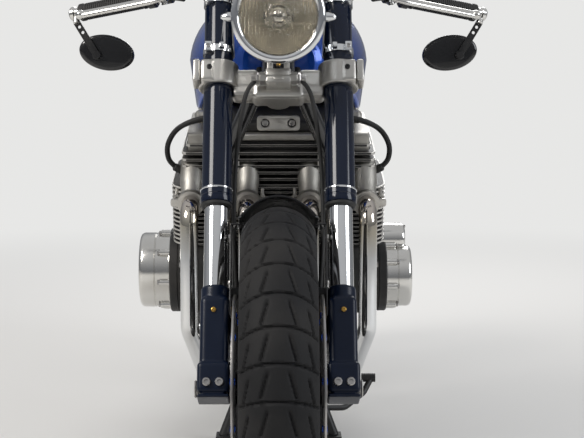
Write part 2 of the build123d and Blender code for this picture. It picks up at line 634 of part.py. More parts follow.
# Frame: head tube and spine
head_low = fork_point(0, YOKE_OFFSET, HEAD_TUBE_LOW_S)
head_top = fork_point(0, YOKE_OFFSET, HEAD_TUBE_TOP_S)
SPINE_END = (0, 130, SEAT_RAIL_Z - 14)
spine = rod(head_low, head_top, HEAD_TUBE_R)
spine += rod(fork_point(0, YOKE_OFFSET, 640), SPINE_END, SPINE_R)
spine += disc(-PLATE_X, PLATE_X, CROSS_TUBE_Y, SEAT_RAIL_Z - 4, 14)
stem_low = fork_point(0, YOKE_OFFSET, HEAD_TUBE_LOW_S - 5)
stem_high = fork_point(0, YOKE_OFFSET, HEAD_TUBE_TOP_S + 5)
spine -= rod(stem_low, stem_high, STEM_R + RUN_GAP)
save("frame_spine", spine)

# Cradle: two downtubes that turn back under the engine
cradle_start = fork_point(26, YOKE_OFFSET + 14, HEAD_TUBE_LOW_S + 42)
down = bent([
    cradle_start, (RAIL_X, -372, 660), (RAIL_X, -346, RAIL_Z + 60), (RAIL_X, -300, RAIL_Z),
    (RAIL_X, 20, RAIL_Z), (PLATE_X, 80, RAIL_Z), (PLATE_X, PIVOT_Y + 30, RAIL_Z),
], FRAME_TUBE_R, 26)
down -= rod(head_low, head_top, HEAD_TUBE_R + SEAT_GAP)

# Rear frame: pivot plates, uprights and seat rails
plate = side_plate([
    (PIVOT_Y - 38, RAIL_Z), (PIVOT_Y + 34, RAIL_Z), (PIVOT_Y + 36, PIVOT_Z + 70),
    (PIVOT_Y - 20, PIVOT_Z + 90), (PIVOT_Y - 34, PIVOT_Z),
], PLATE_X - PLATE_T / 2, PLATE_X + PLATE_T / 2)
upright = rod((PLATE_X, PIVOT_Y - 10, PIVOT_Z + 70), (PLATE_X, CROSS_TUBE_Y, SEAT_RAIL_Z - 16), 13)
rail = bent([
    (PLATE_X, CROSS_TUBE_Y, SEAT_RAIL_Z), (SEAT_RAIL_X, RAIL_KNEE_Y, SEAT_RAIL_Z),
    (SEAT_RAIL_X, SEAT_RAIL_END, SEAT_RAIL_Z), (-SEAT_RAIL_X, SEAT_RAIL_END, SEAT_RAIL_Z),
    (-SEAT_RAIL_X, RAIL_KNEE_Y, SEAT_RAIL_Z), (-PLATE_X, CROSS_TUBE_Y, SEAT_RAIL_Z),
], SEAT_RAIL_R, 70)
strut = rod((PLATE_X, PIVOT_Y + 24, PIVOT_Z + 58), (SEAT_RAIL_X, Y_REAR - 289, SEAT_RAIL_Z), 10)
pivot = disc(-ARM_X - 24, ARM_X + 24, PIVOT_Y, PIVOT_Z, PIVOT_R)
frame_rear = rail + both(plate + upright + strut) + pivot - spine
save("frame_rear", frame_rear)

# Swingarm and rear axle
arm_in = ARM_X - ARM_W / 2
arm_out = ARM_X + ARM_W / 2
swing = side_plate([
    (PIVOT_Y - 24, PIVOT_Z - ARM_H / 2), (Y_REAR + 40, Z_REAR - ARM_H / 2 + 4),
    (Y_REAR + 40, Z_REAR + ARM_H / 2 - 4), (PIVOT_Y - 24, PIVOT_Z + ARM_H / 2),
], arm_in, arm_out)
swing += disc(PLATE_X + PLATE_T / 2 + 2, arm_out, PIVOT_Y, PIVOT_Z, 24)
swing += block(0, ARM_X, 218, 268, PIVOT_Z - 20, PIVOT_Z + 20)
swing -= disc(0, arm_out + 1, PIVOT_Y, PIVOT_Z, PIVOT_R + SEAT_GAP)
swing -= disc(0, arm_out + 1, Y_REAR, Z_REAR, REAR_AXLE_R + SEAT_GAP)
swing -= disc(arm_out - BOBBIN_DEPTH, arm_out + 1, Y_REAR - BOBBIN_BACK, Z_REAR, BOBBIN_R)
save("swingarm", both(swing))

rear_axle = disc(-arm_out - 10, arm_out + 10, Y_REAR, Z_REAR, REAR_AXLE_R)
rear_axle += both(disc(arm_in - 9, arm_in, Y_REAR, Z_REAR, 17))
rear_axle += both(disc(arm_out, arm_out + 8, Y_REAR, Z_REAR, 18))
save("rear_axle", rear_axle)

# Rear calliper over its disc, carried by an arm on the swingarm
calliper_y = Y_REAR - 74
calliper_z = Z_REAR + 76
rear_calliper = block(-22, 22, -34, 34, -26, 26, 6)
rear_calliper = Pos(REAR_DISC_X, calliper_y, calliper_z) * Rot(-44, 0, 0) * rear_calliper
rear_calliper -= disc(
    REAR_DISC_X - DISC_SLOT / 2, REAR_DISC_X + DISC_SLOT / 2, Y_REAR, Z_REAR, REAR_DISC_R + CLEARANCE
)
carrier = block(-ARM_X + 1, REAR_DISC_X - 8, calliper_y - 14, calliper_y + 14, Z_REAR + ARM_H / 2, calliper_z)
save("rear_calliper", rear_calliper + carrier)

# Twin shock absorbers
SHOCK_X = 164
shock_low = (SHOCK_X, Y_REAR - 93, Z_REAR + 6)
shock_top = (SHOCK_X, Y_REAR - 189, SEAT_RAIL_Z - 56)
shock_axis = Vector(*shock_top) - Vector(*shock_low)


def along_shock(share):
    """Point on the shock absorber's axis."""
    return (Vector(*shock_low) + shock_axis * share)


shock = rod(along_shock(0), along_shock(1), 9)
shock += rod(along_shock(0.2), along_shock(0.8), 20)
for index in range(9):
    middle = 0.23 + index * 0.066
    shock += rod(along_shock(middle - 0.011), along_shock(middle + 0.011), 28)
shock += disc(SHOCK_X - 14, SHOCK_X + 14, shock_low[1], shock_low[2], 15)
shock += disc(SHOCK_X - 14, SHOCK_X + 14, shock_top[1], shock_top[2], 15)
shock += disc(arm_out, SHOCK_X, shock_low[1], shock_low[2], 7)
shock += disc(SEAT_RAIL_X - 6, SHOCK_X, shock_top[1], shock_top[2], 7)
shock_lug = block(SEAT_RAIL_X - 6, SEAT_RAIL_X + 4, -20, 20, SEAT_RAIL_Z - 68, SEAT_RAIL_Z - SEAT_RAIL_R)
shock += Pos(0, shock_top[1], 0) * shock_lug
save("shock_absorbers", both(shock))

# Sprocket cover, held off the gearbox by three posts so that the chain passes inside
cover_x = CHAIN_X + CHAIN_W / 2 + 3
guard_plate = side_plate([(10, 300), (118, 296), (124, 400), (60, 412), (10, 400)], cover_x, cover_x + 8)
for y, z in ((22, 312), (22, 390), (FRONT_SPROCKET_Y + 4, FRONT_SPROCKET_Z)):
    guard_plate += disc(GEARBOX_HALF_W, cover_x, y, z, 9)
save("crankcase", case + guard_plate)

# Tank: a few rounded sections from the nose back to the seat
# columns: y, half width, top z
TANK_SECTIONS = [(-372, 70, 905), (-300, 140, 950), (-190, TANK_HALF_W, 968), (-60, 168, 950), (95, 112, 868)]
TANK_ROOM = 10


def tank_section(y, half, top):
    """Flat-bottomed arch across the motorcycle."""
    height = top - TANK_BOTTOM_Z
    wall = TANK_BOTTOM_Z + height * 0.45
    arch = ThreePointArc((half, wall), (half * 0.74, wall + (top - wall) * 0.78), (0, top))
    other = ThreePointArc((0, top), (-half * 0.74, wall + (top - wall) * 0.78), (-half, wall))
    sides = Polyline((-half, wall), (-half * 0.93, TANK_BOTTOM_Z), (half * 0.93, TANK_BOTTOM_Z), (half, wall))
    return Plane(origin=(0, y, 0), x_dir=(1, 0, 0), z_dir=(0, -1, 0)) * outline_face(arch, other, sides)


tank = loft([tank_section(*row) for row in TANK_SECTIONS])
tunnel_front = fork_point(0, YOKE_OFFSET, 640)
tunnel_gap = SPINE_R + TANK_ROOM
tunnel = side_plate([
    (tunnel_front[1], tunnel_front[2] + tunnel_gap), (SPINE_END[1], SPINE_END[2] + tunnel_gap),
    (SPINE_END[1], 700), (tunnel_front[1], 700),
], -tunnel_gap, tunnel_gap)
tank -= tunnel
tank -= engine * block(-CAM_HALF_W - TANK_ROOM, CAM_HALF_W + TANK_ROOM, -110, 96, HEAD_TOP, CAM_TOP + TANK_ROOM)
tank -= side_plate([(-400, 700), (-196, 745), (-250, 776), (-400, 806)], -TANK_HALF_W, TANK_HALF_W)
tank += rod((0, -150, 940), (0, -150, 976), 38)
save("tank", tank)

# Seat, tail hump, tail lamp and plate
seat = upright_block(-SEAT_HALF_W, SEAT_HALF_W, SEAT_FRONT, SEAT_END, SEAT_BOTTOM_Z, SEAT_BOTTOM_Z + SEAT_H, 34)
seat = fillet(seat.edges().group_by(Axis.Z)[-1], 18)
save("seat", seat)
# columns: y behind the seat, half width, height over the seat's underside
HUMP_SECTIONS = [(2, 108, 109), (90, 98, 104), (220, 56, 54)]
hump = loft([
    Plane(origin=(0, SEAT_END + back, SEAT_BOTTOM_Z), x_dir=(1, 0, 0), z_dir=(0, -1, 0)) * outline_face(
        ThreePointArc((half, 0), (0, top), (-half, 0)), Line((-half, 0), (half, 0)),
    )
    for back, half, top in HUMP_SECTIONS
])
save("tail_hump", hump)
hump_end = SEAT_END + HUMP_SECTIONS[-1][0]
tail_lamp = rod((0, hump_end, SEAT_BOTTOM_Z + 22), (0, hump_end + 22, SEAT_BOTTOM_Z + 22), 20)
save("tail_lamp", tail_lamp)
plate_y = SEAT_RAIL_END + 85
plate_bracket = block(-12, 12, SEAT_RAIL_END + 5, plate_y, SEAT_RAIL_Z - 18, SEAT_RAIL_Z - SEAT_RAIL_R)
plate_bracket += block(-60, 60, plate_y - 2, plate_y + 2, PLATE_HOLE_Z - 40, PLATE_HOLE_Z + 40)
for x in (-PLATE_HOLES / 2, PLATE_HOLES / 2):
    plate_bracket -= rod((x, plate_y - 10, PLATE_HOLE_Z), (x, plate_y + 10, PLATE_HOLE_Z), PLATE_HOLE_R)
save("plate_bracket", plate_bracket)

# Footrests, their hangers and the pedals
hanger = side_plate([(120, 330), (185, 330), (250, 420), (215, 440), (150, 380)], arm_out + 4, arm_out + 12)
hanger += disc(arm_out + 12, 240, 222, 424, 10)
hanger += disc(PLATE_X + PLATE_T / 2, arm_out + 4, PIVOT_Y, PIVOT_Z + 43, 7)
hanger -= disc(arm_out, arm_out + 20, PIVOT_Y, PIVOT_Z, PIVOT_R + SEAT_GAP)
pedal = bent([(arm_out + 22, 222, 424), (arm_out + 22, 150, 430), (arm_out + 22, 90, 420)], 6, 20)
pedal += disc(arm_out + 16, 210, 90, 420, 7)
save("footrests", both(hanger + pedal))

# Battery and electrics box inside the rear frame
save("electrics_box", block(-68, 68, 146, 300, SEAT_RAIL_Z - 180, SEAT_RAIL_Z - 38, 10))

# Centre stand: two legs with flared feet, a cross tube and the tread bar
stand_top = (STAND_LEG_X, STAND_Y, STAND_Z)
stand_knee = (STAND_LEG_X, STAND_FOOT_Y + 14, 84)
stand_foot = (STAND_FOOT_X, STAND_FOOT_Y, 12)
stand = bent([stand_top, stand_knee, stand_foot], STAND_LEG_R, 30)
stand += block(STAND_FOOT_X - 20, STAND_FOOT_X + 16, STAND_FOOT_Y - 26, STAND_FOOT_Y + 26, 0, 14)
stand += disc(STAND_LEG_X - 9, STAND_LEG_X + 9, STAND_Y, STAND_Z, 12)
stand = both(stand) + disc(-STAND_LEG_X, STAND_LEG_X, STAND_FOOT_Y + 24, 136, 10)
tread = bent([(STAND_LEG_X + 6, 92, 70), (150, 110, 66), (196, 150, 92), (214, 172, 120)], 7, 26)
tread += disc(192, 224, 172, 122, 10)
stand += tread
stand -= disc(-STAND_LEG_X - 20, STAND_LEG_X + 20, STAND_Y, STAND_Z, STAND_PIN_R + RUN_GAP)
save("centre_stand", stand)

lug_in = STAND_LEG_X - 9 - CLEARANCE
lugs = block(lug_in - 8, lug_in, STAND_Y - 14, STAND_Y + 14, STAND_Z - 12, RAIL_Z)
hanger_pin = disc(-STAND_LEG_X - 13, STAND_LEG_X + 13, STAND_Y, STAND_Z, STAND_PIN_R)
save("frame_cradle", both(down + lugs) + hanger_pin - frame_rear)
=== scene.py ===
import bmesh
import bpy
from math import atan2, cos, pi, radians, sin, sqrt
from mathutils import Matrix, Vector


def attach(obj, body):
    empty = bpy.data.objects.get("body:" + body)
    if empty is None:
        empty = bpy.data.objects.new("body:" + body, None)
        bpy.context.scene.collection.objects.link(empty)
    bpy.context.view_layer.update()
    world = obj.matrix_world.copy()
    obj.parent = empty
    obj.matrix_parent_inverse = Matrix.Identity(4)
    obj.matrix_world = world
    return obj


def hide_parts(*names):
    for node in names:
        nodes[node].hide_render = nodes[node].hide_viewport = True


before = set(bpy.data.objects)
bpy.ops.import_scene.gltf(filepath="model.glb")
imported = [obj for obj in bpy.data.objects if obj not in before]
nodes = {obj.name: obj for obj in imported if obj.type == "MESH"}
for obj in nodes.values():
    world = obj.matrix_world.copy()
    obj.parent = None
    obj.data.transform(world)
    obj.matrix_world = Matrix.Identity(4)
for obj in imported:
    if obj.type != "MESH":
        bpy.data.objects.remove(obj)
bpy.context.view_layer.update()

scene = bpy.context.scene
scene.view_settings.view_transform = "Standard"


# Camera: it stands 2.2 m ahead of the front axle at tank height and looks slightly down at the
# forks, with a long lens, so the bars and the headlamp leave the picture at its top.
def link(name, data):
    """New object in the scene."""
    obj = bpy.data.objects.new(name, data)
    scene.collection.objects.link(obj)
    return obj


camera_data = bpy.data.cameras.new("camera")
camera_data.sensor_width = 36
camera_data.lens = 84.45
camera = link("camera", camera_data)
camera.location = (0, -2.961, 0.797)
camera.rotation_euler = (radians(90 - 5.55), 0, radians(-0.565))
scene.camera = camera


# Floor and light: a pale studio floor, a pale surround, one large soft key lamp high on the
# left and two weaker ones, with a darker band at the horizon that gives the bright metal its edges.
def feed(node, inputs):
    """Set a node's inputs to values, or link them to another node or to one (node, output) of it."""
    for socket, source in dict(inputs).items():
        if isinstance(source, bpy.types.Node):
            source = (source, 0)
        if isinstance(source, tuple) and isinstance(source[0], bpy.types.Node):
            node.id_data.links.new(source[0].outputs[source[1]], node.inputs[socket])
        else:
            node.inputs[socket].default_value = source


def shader_material(name, inputs=()):
    """Node material with the inputs of its Principled BSDF set."""
    material = bpy.data.materials.new(name)
    material.use_nodes = True
    feed(material.node_tree.nodes["Principled BSDF"], inputs)
    return material


def add_node(tree, kind, inputs=(), **settings):
    """New node in a tree, with its settings and its inputs."""
    node = tree.nodes.new(kind)
    for name, value in settings.items():
        setattr(node, name, value)
    feed(node, inputs)
    return node


def set_ramp(ramp, first, *between):
    """Give a colour ramp its stops, each as (place, colour)."""
    stops = ramp.color_ramp.elements
    *between, last = between
    for stop, (at, colour) in zip(stops, (first, last)):
        stop.position = at
        stop.color = (*colour, 1)
    for at, colour in between:
        stops.new(at).color = (*colour, 1)


floor_finish = shader_material("studio_floor", {"Base Color": (0.72, 0.71, 0.69, 1), "Roughness": 0.85})
floor_tree = floor_finish.node_tree
floor_shader = floor_tree.nodes["Principled BSDF"]
floor_noise = add_node(floor_tree, "ShaderNodeTexNoise", {"Scale": 3})
feed(floor_shader, {"Normal": add_node(floor_tree, "ShaderNodeBump",
                                       {"Strength": 0.02, "Height": floor_noise})})
floor_place = add_node(floor_tree, "ShaderNodeTexCoord")
floor_reach = add_node(floor_tree, "ShaderNodeVectorMath", {0: (floor_place, "Object")}, operation="LENGTH")
floor_fade = add_node(floor_tree, "ShaderNodeMapRange", {
    "Value": (floor_reach, "Value"), "From Min": 1.3, "From Max": 5,
}, interpolation_type="SMOOTHSTEP")
floor_seen = add_node(floor_tree, "ShaderNodeMath", {
    0: floor_fade, 1: (add_node(floor_tree, "ShaderNodeLightPath"), "Is Camera Ray"),
}, operation="MULTIPLY")
floor_glow = add_node(floor_tree, "ShaderNodeEmission", {"Color": (0.8, 0.8, 0.79, 1)})
floor_mix = add_node(floor_tree, "ShaderNodeMixShader", {"Fac": floor_seen, 1: floor_shader, 2: floor_glow})
feed(floor_tree.nodes["Material Output"], {"Surface": floor_mix})
floor_mesh = bpy.data.meshes.new("studio_floor")
floor_mesh.from_pydata([(-14, -9, 0), (14, -9, 0), (14, 16, 0), (-14, 16, 0)], [], [(0, 1, 2, 3)])
floor_mesh.materials.append(floor_finish)
link("studio_floor", floor_mesh)
surround = bpy.data.worlds.new("surround")
surround.use_nodes = True
scene.world = surround
sky_tree = surround.node_tree
sky_split = add_node(sky_tree, "ShaderNodeSeparateXYZ", {
    "Vector": (add_node(sky_tree, "ShaderNodeTexCoord"), "Generated"),
})
sky_ramp = add_node(sky_tree, "ShaderNodeValToRGB", {"Fac": (sky_split, "Z")})
set_ramp(sky_ramp, (0, (0.3, 0.31, 0.33)), (0.16, (0.4, 0.41, 0.43)), (0.75, (0.92, 0.93, 0.95)))
light_sky = sky_tree.nodes["Background"]
feed(light_sky, {"Strength": 0.55, "Color": sky_ramp})
seen_sky = add_node(sky_tree, "ShaderNodeBackground", {"Color": (0.8, 0.8, 0.79, 1)})
sky_mix = add_node(sky_tree, "ShaderNodeMixShader", {
    "Fac": (add_node(sky_tree, "ShaderNodeLightPath"), "Is Camera Ray"), 1: light_sky, 2: seen_sky,
})
feed(sky_tree.nodes["World Output"], {"Surface": sky_mix})

# columns: name, place, aimed at, size, power, colour
LAMPS = [
    ("key", (-2.6, -2.2, 3.2), (0, -0.3, 0.6), 1.6, 95, (1.0, 0.97, 0.93)),
    ("fill", (3.2, -1.6, 1.9), (0, -0.3, 0.6), 1.6, 42, (0.93, 0.96, 1.0)),
    ("back", (0.6, 3.4, 2.8), (0, 0.2, 0.6), 2.0, 70, (1.0, 1.0, 1.0)),
]
for lamp_name, lamp_place, aimed_at, lamp_size, power, lamp_colour in LAMPS:
    lamp_data = bpy.data.lights.new(lamp_name, "AREA")
    lamp_data.size = lamp_size
    lamp_data.energy = power
    lamp_data.color = lamp_colour
    lamp = link(lamp_name, lamp_data)
    lamp.location = lamp_place
    lamp.rotation_euler = (Vector(aimed_at) - Vector(lamp_place)).to_track_quat("-Z", "Y").to_euler()


# Front brake hoses: 8 mm rubber hoses, 392 mm each, from the unions on the block down behind the
# legs to the callipers. Both ends are held, so each is one smooth line with no slack.
def held_cord(name, route, thickness, material):
    """Curve of one smooth line along its route."""
    data = bpy.data.curves.new(name, "CURVE")
    data.dimensions = "3D"
    data.bevel_depth = thickness / 2
    data.bevel_resolution = 4
    data.resolution_u = 10
    data.use_fill_caps = True
    spline = data.splines.new("NURBS")
    spline.points.add(len(route) - 1)
    for point, spot in zip(spline.points, route):
        point.co = (*spot, 1)
    spline.use_endpoint_u = True
    spline.order_u = 3
    data.materials.append(material)
    return link(name, data)


def new_group(name, kind, inputs, outputs):
    """Node group with named inputs and outputs, each a label and its kind of socket."""
    tree = bpy.data.node_groups.new(name, kind)
    for way, sockets in (("INPUT", inputs), ("OUTPUT", outputs)):
        for label, socket_kind in sockets.items():
            tree.interface.new_socket(label, in_out=way, socket_type="NodeSocket" + socket_kind)
    return tree, tree.nodes.new("NodeGroupInput"), tree.nodes.new("NodeGroupOutput")


# One shader group gives each finish its uneven colour, its dull and bright patches and its grain.
grain_group, grain_in, grain_out = new_group("grain_and_wear", "ShaderNodeTree", {
    "Fresh Colour": "Color", "Worn Colour": "Color", "Wear": "Float", "Patch Scale": "Float",
    "Grain Scale": "Float", "Roughness": "Float", "Roughness Spread": "Float",
}, {"Colour": "Color", "Roughness": "Float", "Height": "Float"})
grain_place = (add_node(grain_group, "ShaderNodeTexCoord"), "Object")
patches = add_node(grain_group, "ShaderNodeTexNoise", {
    "Vector": grain_place, "Scale": (grain_in, "Patch Scale"), "Detail": 6,
})
grains = add_node(grain_group, "ShaderNodeTexNoise", {
    "Vector": grain_place, "Scale": (grain_in, "Grain Scale"), "Detail": 3,
})
patch_mask = add_node(grain_group, "ShaderNodeMapRange",
                      {"Value": patches, "From Min": 0.42, "From Max": 0.66})
wear_mask = add_node(grain_group, "ShaderNodeMath", {0: patch_mask, 1: (grain_in, "Wear")},
                     operation="MULTIPLY")
worn_mix = add_node(grain_group, "ShaderNodeMix", {
    "Factor": wear_mask, 6: (grain_in, "Fresh Colour"), 7: (grain_in, "Worn Colour"),
}, data_type="RGBA")
centred = add_node(grain_group, "ShaderNodeMath", {0: patches, 1: 0.5}, operation="SUBTRACT")
uneven = add_node(grain_group, "ShaderNodeMath", {
    0: centred, 1: (grain_in, "Roughness Spread"), 2: (grain_in, "Roughness"),
}, operation="MULTIPLY_ADD", use_clamp=True)
feed(grain_out, {"Colour": (worn_mix, 2), "Roughness": uneven, "Height": grains})


def finish(name, fresh, worn, wear, rough, spread, grain, bump, patch=9, metallic=0, coat=0, specular=0.5):
    """A material with uneven colour and roughness and a fine grain, metal or painted."""
    material = shader_material(name, {
        "Metallic": metallic, "Coat Weight": coat, "Coat Roughness": 0.04, "Specular IOR Level": specular,
    })
    tree = material.node_tree
    uneven = add_node(tree, "ShaderNodeGroup", {
        "Fresh Colour": (*fresh, 1), "Worn Colour": (*worn, 1), "Wear": wear, "Patch Scale": patch,
        "Grain Scale": grain, "Roughness": rough, "Roughness Spread": spread,
    }, node_tree=grain_group)
    bumps = add_node(tree, "ShaderNodeBump", {"Strength": bump, "Distance": 0.001,
                                              "Height": (uneven, "Height")})
    feed(tree.nodes["Principled BSDF"], {
        "Base Color": (uneven, "Colour"), "Roughness": (uneven, "Roughness"), "Normal": bumps,
    })
    return material


black_rubber = finish("black_rubber", (0.016, 0.016, 0.016), (0.034, 0.033, 0.032), wear=0.5, rough=0.62,
                      spread=0.2, grain=900, bump=0.1, patch=14)


def dress(node, material):
    """Give a CAD node its material."""
    mesh = nodes[node].data
    mesh.materials.clear()
    mesh.materials.append(material)


def settle(obj, body, slot_name, *replaced):
    """A finished piece rides on its body and takes the place of its CAD nodes, which get its material and are
    hidden; slot_name is not used.
    """
    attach(obj, body)
    for node in replaced:
        dress(node, obj.data.materials[-1])
    if replaced:
        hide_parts(*replaced)
    return obj


RAKE = radians(25)
fork_place = Matrix(((1, 0, 0, 0), (0, cos(RAKE), sin(RAKE), -0.741), (0, -sin(RAKE), cos(RAKE), 0.3),
                     (0, 0, 0, 1)))
HOSE_ROUTE = ((0.033, -0.034, 0.547), (0.054, -0.034, 0.536), (0.066, -0.014, 0.48), (0.075, 0.026, 0.424),
              (0.079, 0.044, 0.34), (0.077, 0.052, 0.262), (0.072, 0.064, 0.188))
for side, hand in ((1, "left"), (-1, "right")):
    route = [fork_place @ Vector((side * x, back, s)) for x, back, s in HOSE_ROUTE]
    hose = held_cord("brake_hose_" + hand, route, 0.008, black_rubber)
    settle(hose, "front_end", "rubber", "front_brake_hoses")


# Plug leads: ribbed black conduit, 11 mm thick and 186 mm long, from the cam cover out and down
# round each end of the head. Its ribs are rings spaced along the same line by a tree.
LEFT_RIGHT = (-1, 1)


def as_mesh(name, part):
    """Plain mesh of a bmesh, which is freed."""
    mesh = bpy.data.meshes.new(name)
    part.to_mesh(mesh)
    part.free()
    return mesh


def piece(name, part, material, body, slot_name, *replaced, place=Matrix(), crease=35):
    """The gathered shapes as one object at the origin."""
    bmesh.ops.transform(part, matrix=place, verts=part.verts)
    bmesh.ops.recalc_face_normals(part, faces=part.faces)
    mesh = as_mesh(name, part)
    mesh.shade_smooth()
    mesh.set_sharp_from_angle(angle=radians(crease))
    mesh.materials.append(material)
    return settle(link(name, mesh), body, slot_name, *replaced)


def end_tree(tree, tree_in, tree_out, instances, weld=0):
    """The end of every tree: the copies are made real, welded where need be, and take their finish."""
    real = add_node(tree, "GeometryNodeRealizeInstances", {"Geometry": instances})
    if weld:
        real = add_node(tree, "GeometryNodeMergeByDistance", {"Geometry": real, "Distance": weld})
    feed(tree_out, {"Geometry": add_node(tree, "GeometryNodeSetMaterial", {
        "Geometry": real, "Material": (tree_in, "Material"),
    })})


def evaluated(obj):
    """Put the result of an object's modifiers in its mesh and take them off."""
    obj.data = bpy.data.meshes.new_from_object(obj.evaluated_get(bpy.context.evaluated_depsgraph_get()))
    obj.modifiers.clear()


def grow(name, mesh, tree, crease, values):
    """Run a tree on a mesh with its inputs set, and keep the result as a plain mesh."""
    obj = link(name, mesh)
    modifier = obj.modifiers.new(tree.name, "NODES")
    modifier.node_group = tree
    for item in tree.interface.items_tree:
        if item.in_out == "INPUT" and item.name in values:
            modifier[item.identifier] = values[item.name]
    evaluated(obj)
    obj.data.shade_smooth()
    obj.data.set_sharp_from_angle(angle=radians(crease))
    return obj


# Ribs along a line: rings of one size, evenly spaced on a smooth line.
rib_tree, rib_in, rib_out = new_group("ribs_along_a_line", "GeometryNodeTree", {
    "Geometry": "Geometry", "Ribs": "Int", "Ring Radius": "Float", "Rib Radius": "Float",
    "Material": "Material",
}, {"Geometry": "Geometry"})
rib_line = add_node(rib_tree, "GeometryNodeMeshToCurve", {"Mesh": (rib_in, "Geometry")})
rib_spots = add_node(rib_tree, "GeometryNodeCurveToPoints", {"Curve": rib_line, "Count": (rib_in, "Ribs")})
rib_ring, rib_wire = (
    add_node(rib_tree, "GeometryNodeCurvePrimitiveCircle", {"Resolution": steps, "Radius": (rib_in, label)})
    for steps, label in ((16, "Ring Radius"), (6, "Rib Radius"))
)
rib = add_node(rib_tree, "GeometryNodeCurveToMesh", {"Curve": rib_ring, "Profile Curve": rib_wire})
end_tree(rib_tree, rib_in, rib_out, add_node(rib_tree, "GeometryNodeInstanceOnPoints", {
    "Points": rib_spots, "Instance": rib, "Rotation": (rib_spots, "Rotation"),
}))


def ribs_along(name, line, ribs, ring_r, rib_r, material, body, slot_name):
    """Rings spaced evenly along a line of points."""
    mesh = bpy.data.meshes.new(name)
    mesh.from_pydata(line, [(k, k + 1) for k in range(len(line) - 1)], [])
    values = {"Ribs": ribs, "Ring Radius": ring_r, "Rib Radius": rib_r, "Material": material}
    return settle(grow(name, mesh, rib_tree, 60, values), body, slot_name)


def smooth_line(points, steps=6):
    """Points of a smooth line through a few given ones."""
    given = [Vector(point) for point in points]
    ends = [given[0] * 2 - given[1], *given, given[-1] * 2 - given[-2]]
    line = []
    for index in range(1, len(ends) - 2):
        a, b, c, d = ends[index - 1:index + 3]
        for step in range(steps):
            t = step / steps
            line.append(0.5 * (2 * b + (c - a) * t + (2 * a - 5 * b + 4 * c - d) * t ** 2
                               + (3 * b - a - 3 * c + d) * t ** 3))
    return [*line, given[-1]]


def add_rings(part, loop, centre, axis, segments):
    """Rings of points round an axis, one for each (along, radius); radius 0 gives a single point."""
    axis = Vector(axis).normalized()
    side = axis.orthogonal().normalized()
    other = axis.cross(side)
    turns = [2 * pi * step / segments for step in range(segments)]
    rings = []
    for along, radius in loop:
        middle = Vector(centre) + axis * along
        if radius < 1e-6:
            rings.append([part.verts.new(middle)] * segments)
        else:
            rings.append([part.verts.new(middle + (side * cos(turn) + other * sin(turn)) * radius)
                          for turn in turns])
    return rings


def join_rings(part, low, high):
    """Faces between two rings of as many points; where one is a single point they are triangles."""
    for step in range(len(low)):
        after = (step + 1) % len(low)
        part.faces.new(dict.fromkeys((low[step], high[step], high[after], low[after])))


def add_turned(part, profile, centre, axis, segments=32):
    """Lathe a profile of (along, radius) round an axis; an end with radius 0 closes it."""
    rings = add_rings(part, profile, centre, axis, segments)
    for low, high in zip(rings, rings[1:]):
        join_rings(part, low, high)


LEAD_ROUTE = ((0.128, -0.314, 0.738), (0.168, -0.312, 0.733), (0.207, -0.294, 0.706), (0.221, -0.276, 0.67),
              (0.211, -0.264, 0.642), (0.192, -0.258, 0.632))
for side, hand in ((1, "left"), (-1, "right")):
    route = [Vector((side * x, y, z)) for x, y, z in LEAD_ROUTE]
    lead = held_cord("plug_lead_" + hand, route, 0.0094, black_rubber)
    settle(lead, "chassis", "rubber", "plug_leads")
    ribs_along("plug_lead_ribs_" + hand, smooth_line([route[0],
                                                      *[a.lerp(b, 0.5) for a, b in zip(route[1:],
                                                                                       route[2:])],
                                                      route[-1]], 8),
               62, 0.0046, 0.0009, black_rubber, "chassis", "rubber")
part = bmesh.new()
for side in LEFT_RIGHT:
    for spot, way in ((Vector((0.128, -0.314, 0.738)), Vector((1, 0.05, -0.12))),
                      (Vector((0.192, -0.258, 0.632)), Vector((0.85, -0.28, 0.42)))):
        flip = Matrix.Diagonal((side, 1, 1, 1))
        add_turned(part, [(-0.004, 0), (-0.004, 0.0075), (0.002, 0.008), (0.014, 0.0078), (0.016, 0.0062),
                          (0.016, 0)],
                   flip @ spot, flip.to_3x3() @ way, 16)
piece("plug_lead_boots", part, black_rubber, "chassis", "rubber")


# Tyres: black rubber road tyres with stepped walls. One pitch of the tread is drawn, with an arc
# across it, two leaning slits beside the middle and one near each shoulder, and goes 34 times round.
FRONT_AXLE = Vector((0, -0.741, 0.3))
REAR_AXLE = Vector((0, 0.729, 0.334))


# Repeats round an axle: copies of one drawn piece turn about a centre along X and are welded where
# they meet.
ring_tree, ring_in, ring_out = new_group("round_an_axle", "GeometryNodeTree", {
    "Geometry": "Geometry", "Count": "Int", "Centre": "Vector", "Material": "Material",
}, {"Geometry": "Geometry"})
ring_points = add_node(ring_tree, "GeometryNodePoints",
                       {"Count": (ring_in, "Count"), "Position": (ring_in, "Centre")})
ring_step = add_node(ring_tree, "ShaderNodeMath", {0: 2 * pi, 1: (ring_in, "Count")}, operation="DIVIDE")
ring_turn = add_node(ring_tree, "ShaderNodeMath", {
    0: ring_step, 1: add_node(ring_tree, "GeometryNodeInputIndex"),
}, operation="MULTIPLY")
ring_rotation = add_node(ring_tree, "FunctionNodeEulerToRotation", {
    "Euler": add_node(ring_tree, "ShaderNodeCombineXYZ", {"X": ring_turn}),
})
end_tree(ring_tree, ring_in, ring_out, add_node(ring_tree, "GeometryNodeInstanceOnPoints", {
    "Points": ring_points, "Instance": (ring_in, "Geometry"), "Rotation": ring_rotation,
}), weld=0.00003)


def round_axle(name, part, count, centre, material, body, slot_name, *replaced, crease=35):
    """Copies of a piece drawn about the origin, turned about an X axis through centre."""
    values = {"Count": count, "Centre": tuple(centre), "Material": material}
    return settle(grow(name, as_mesh(name, part), ring_tree, crease, values), body, slot_name, *replaced)


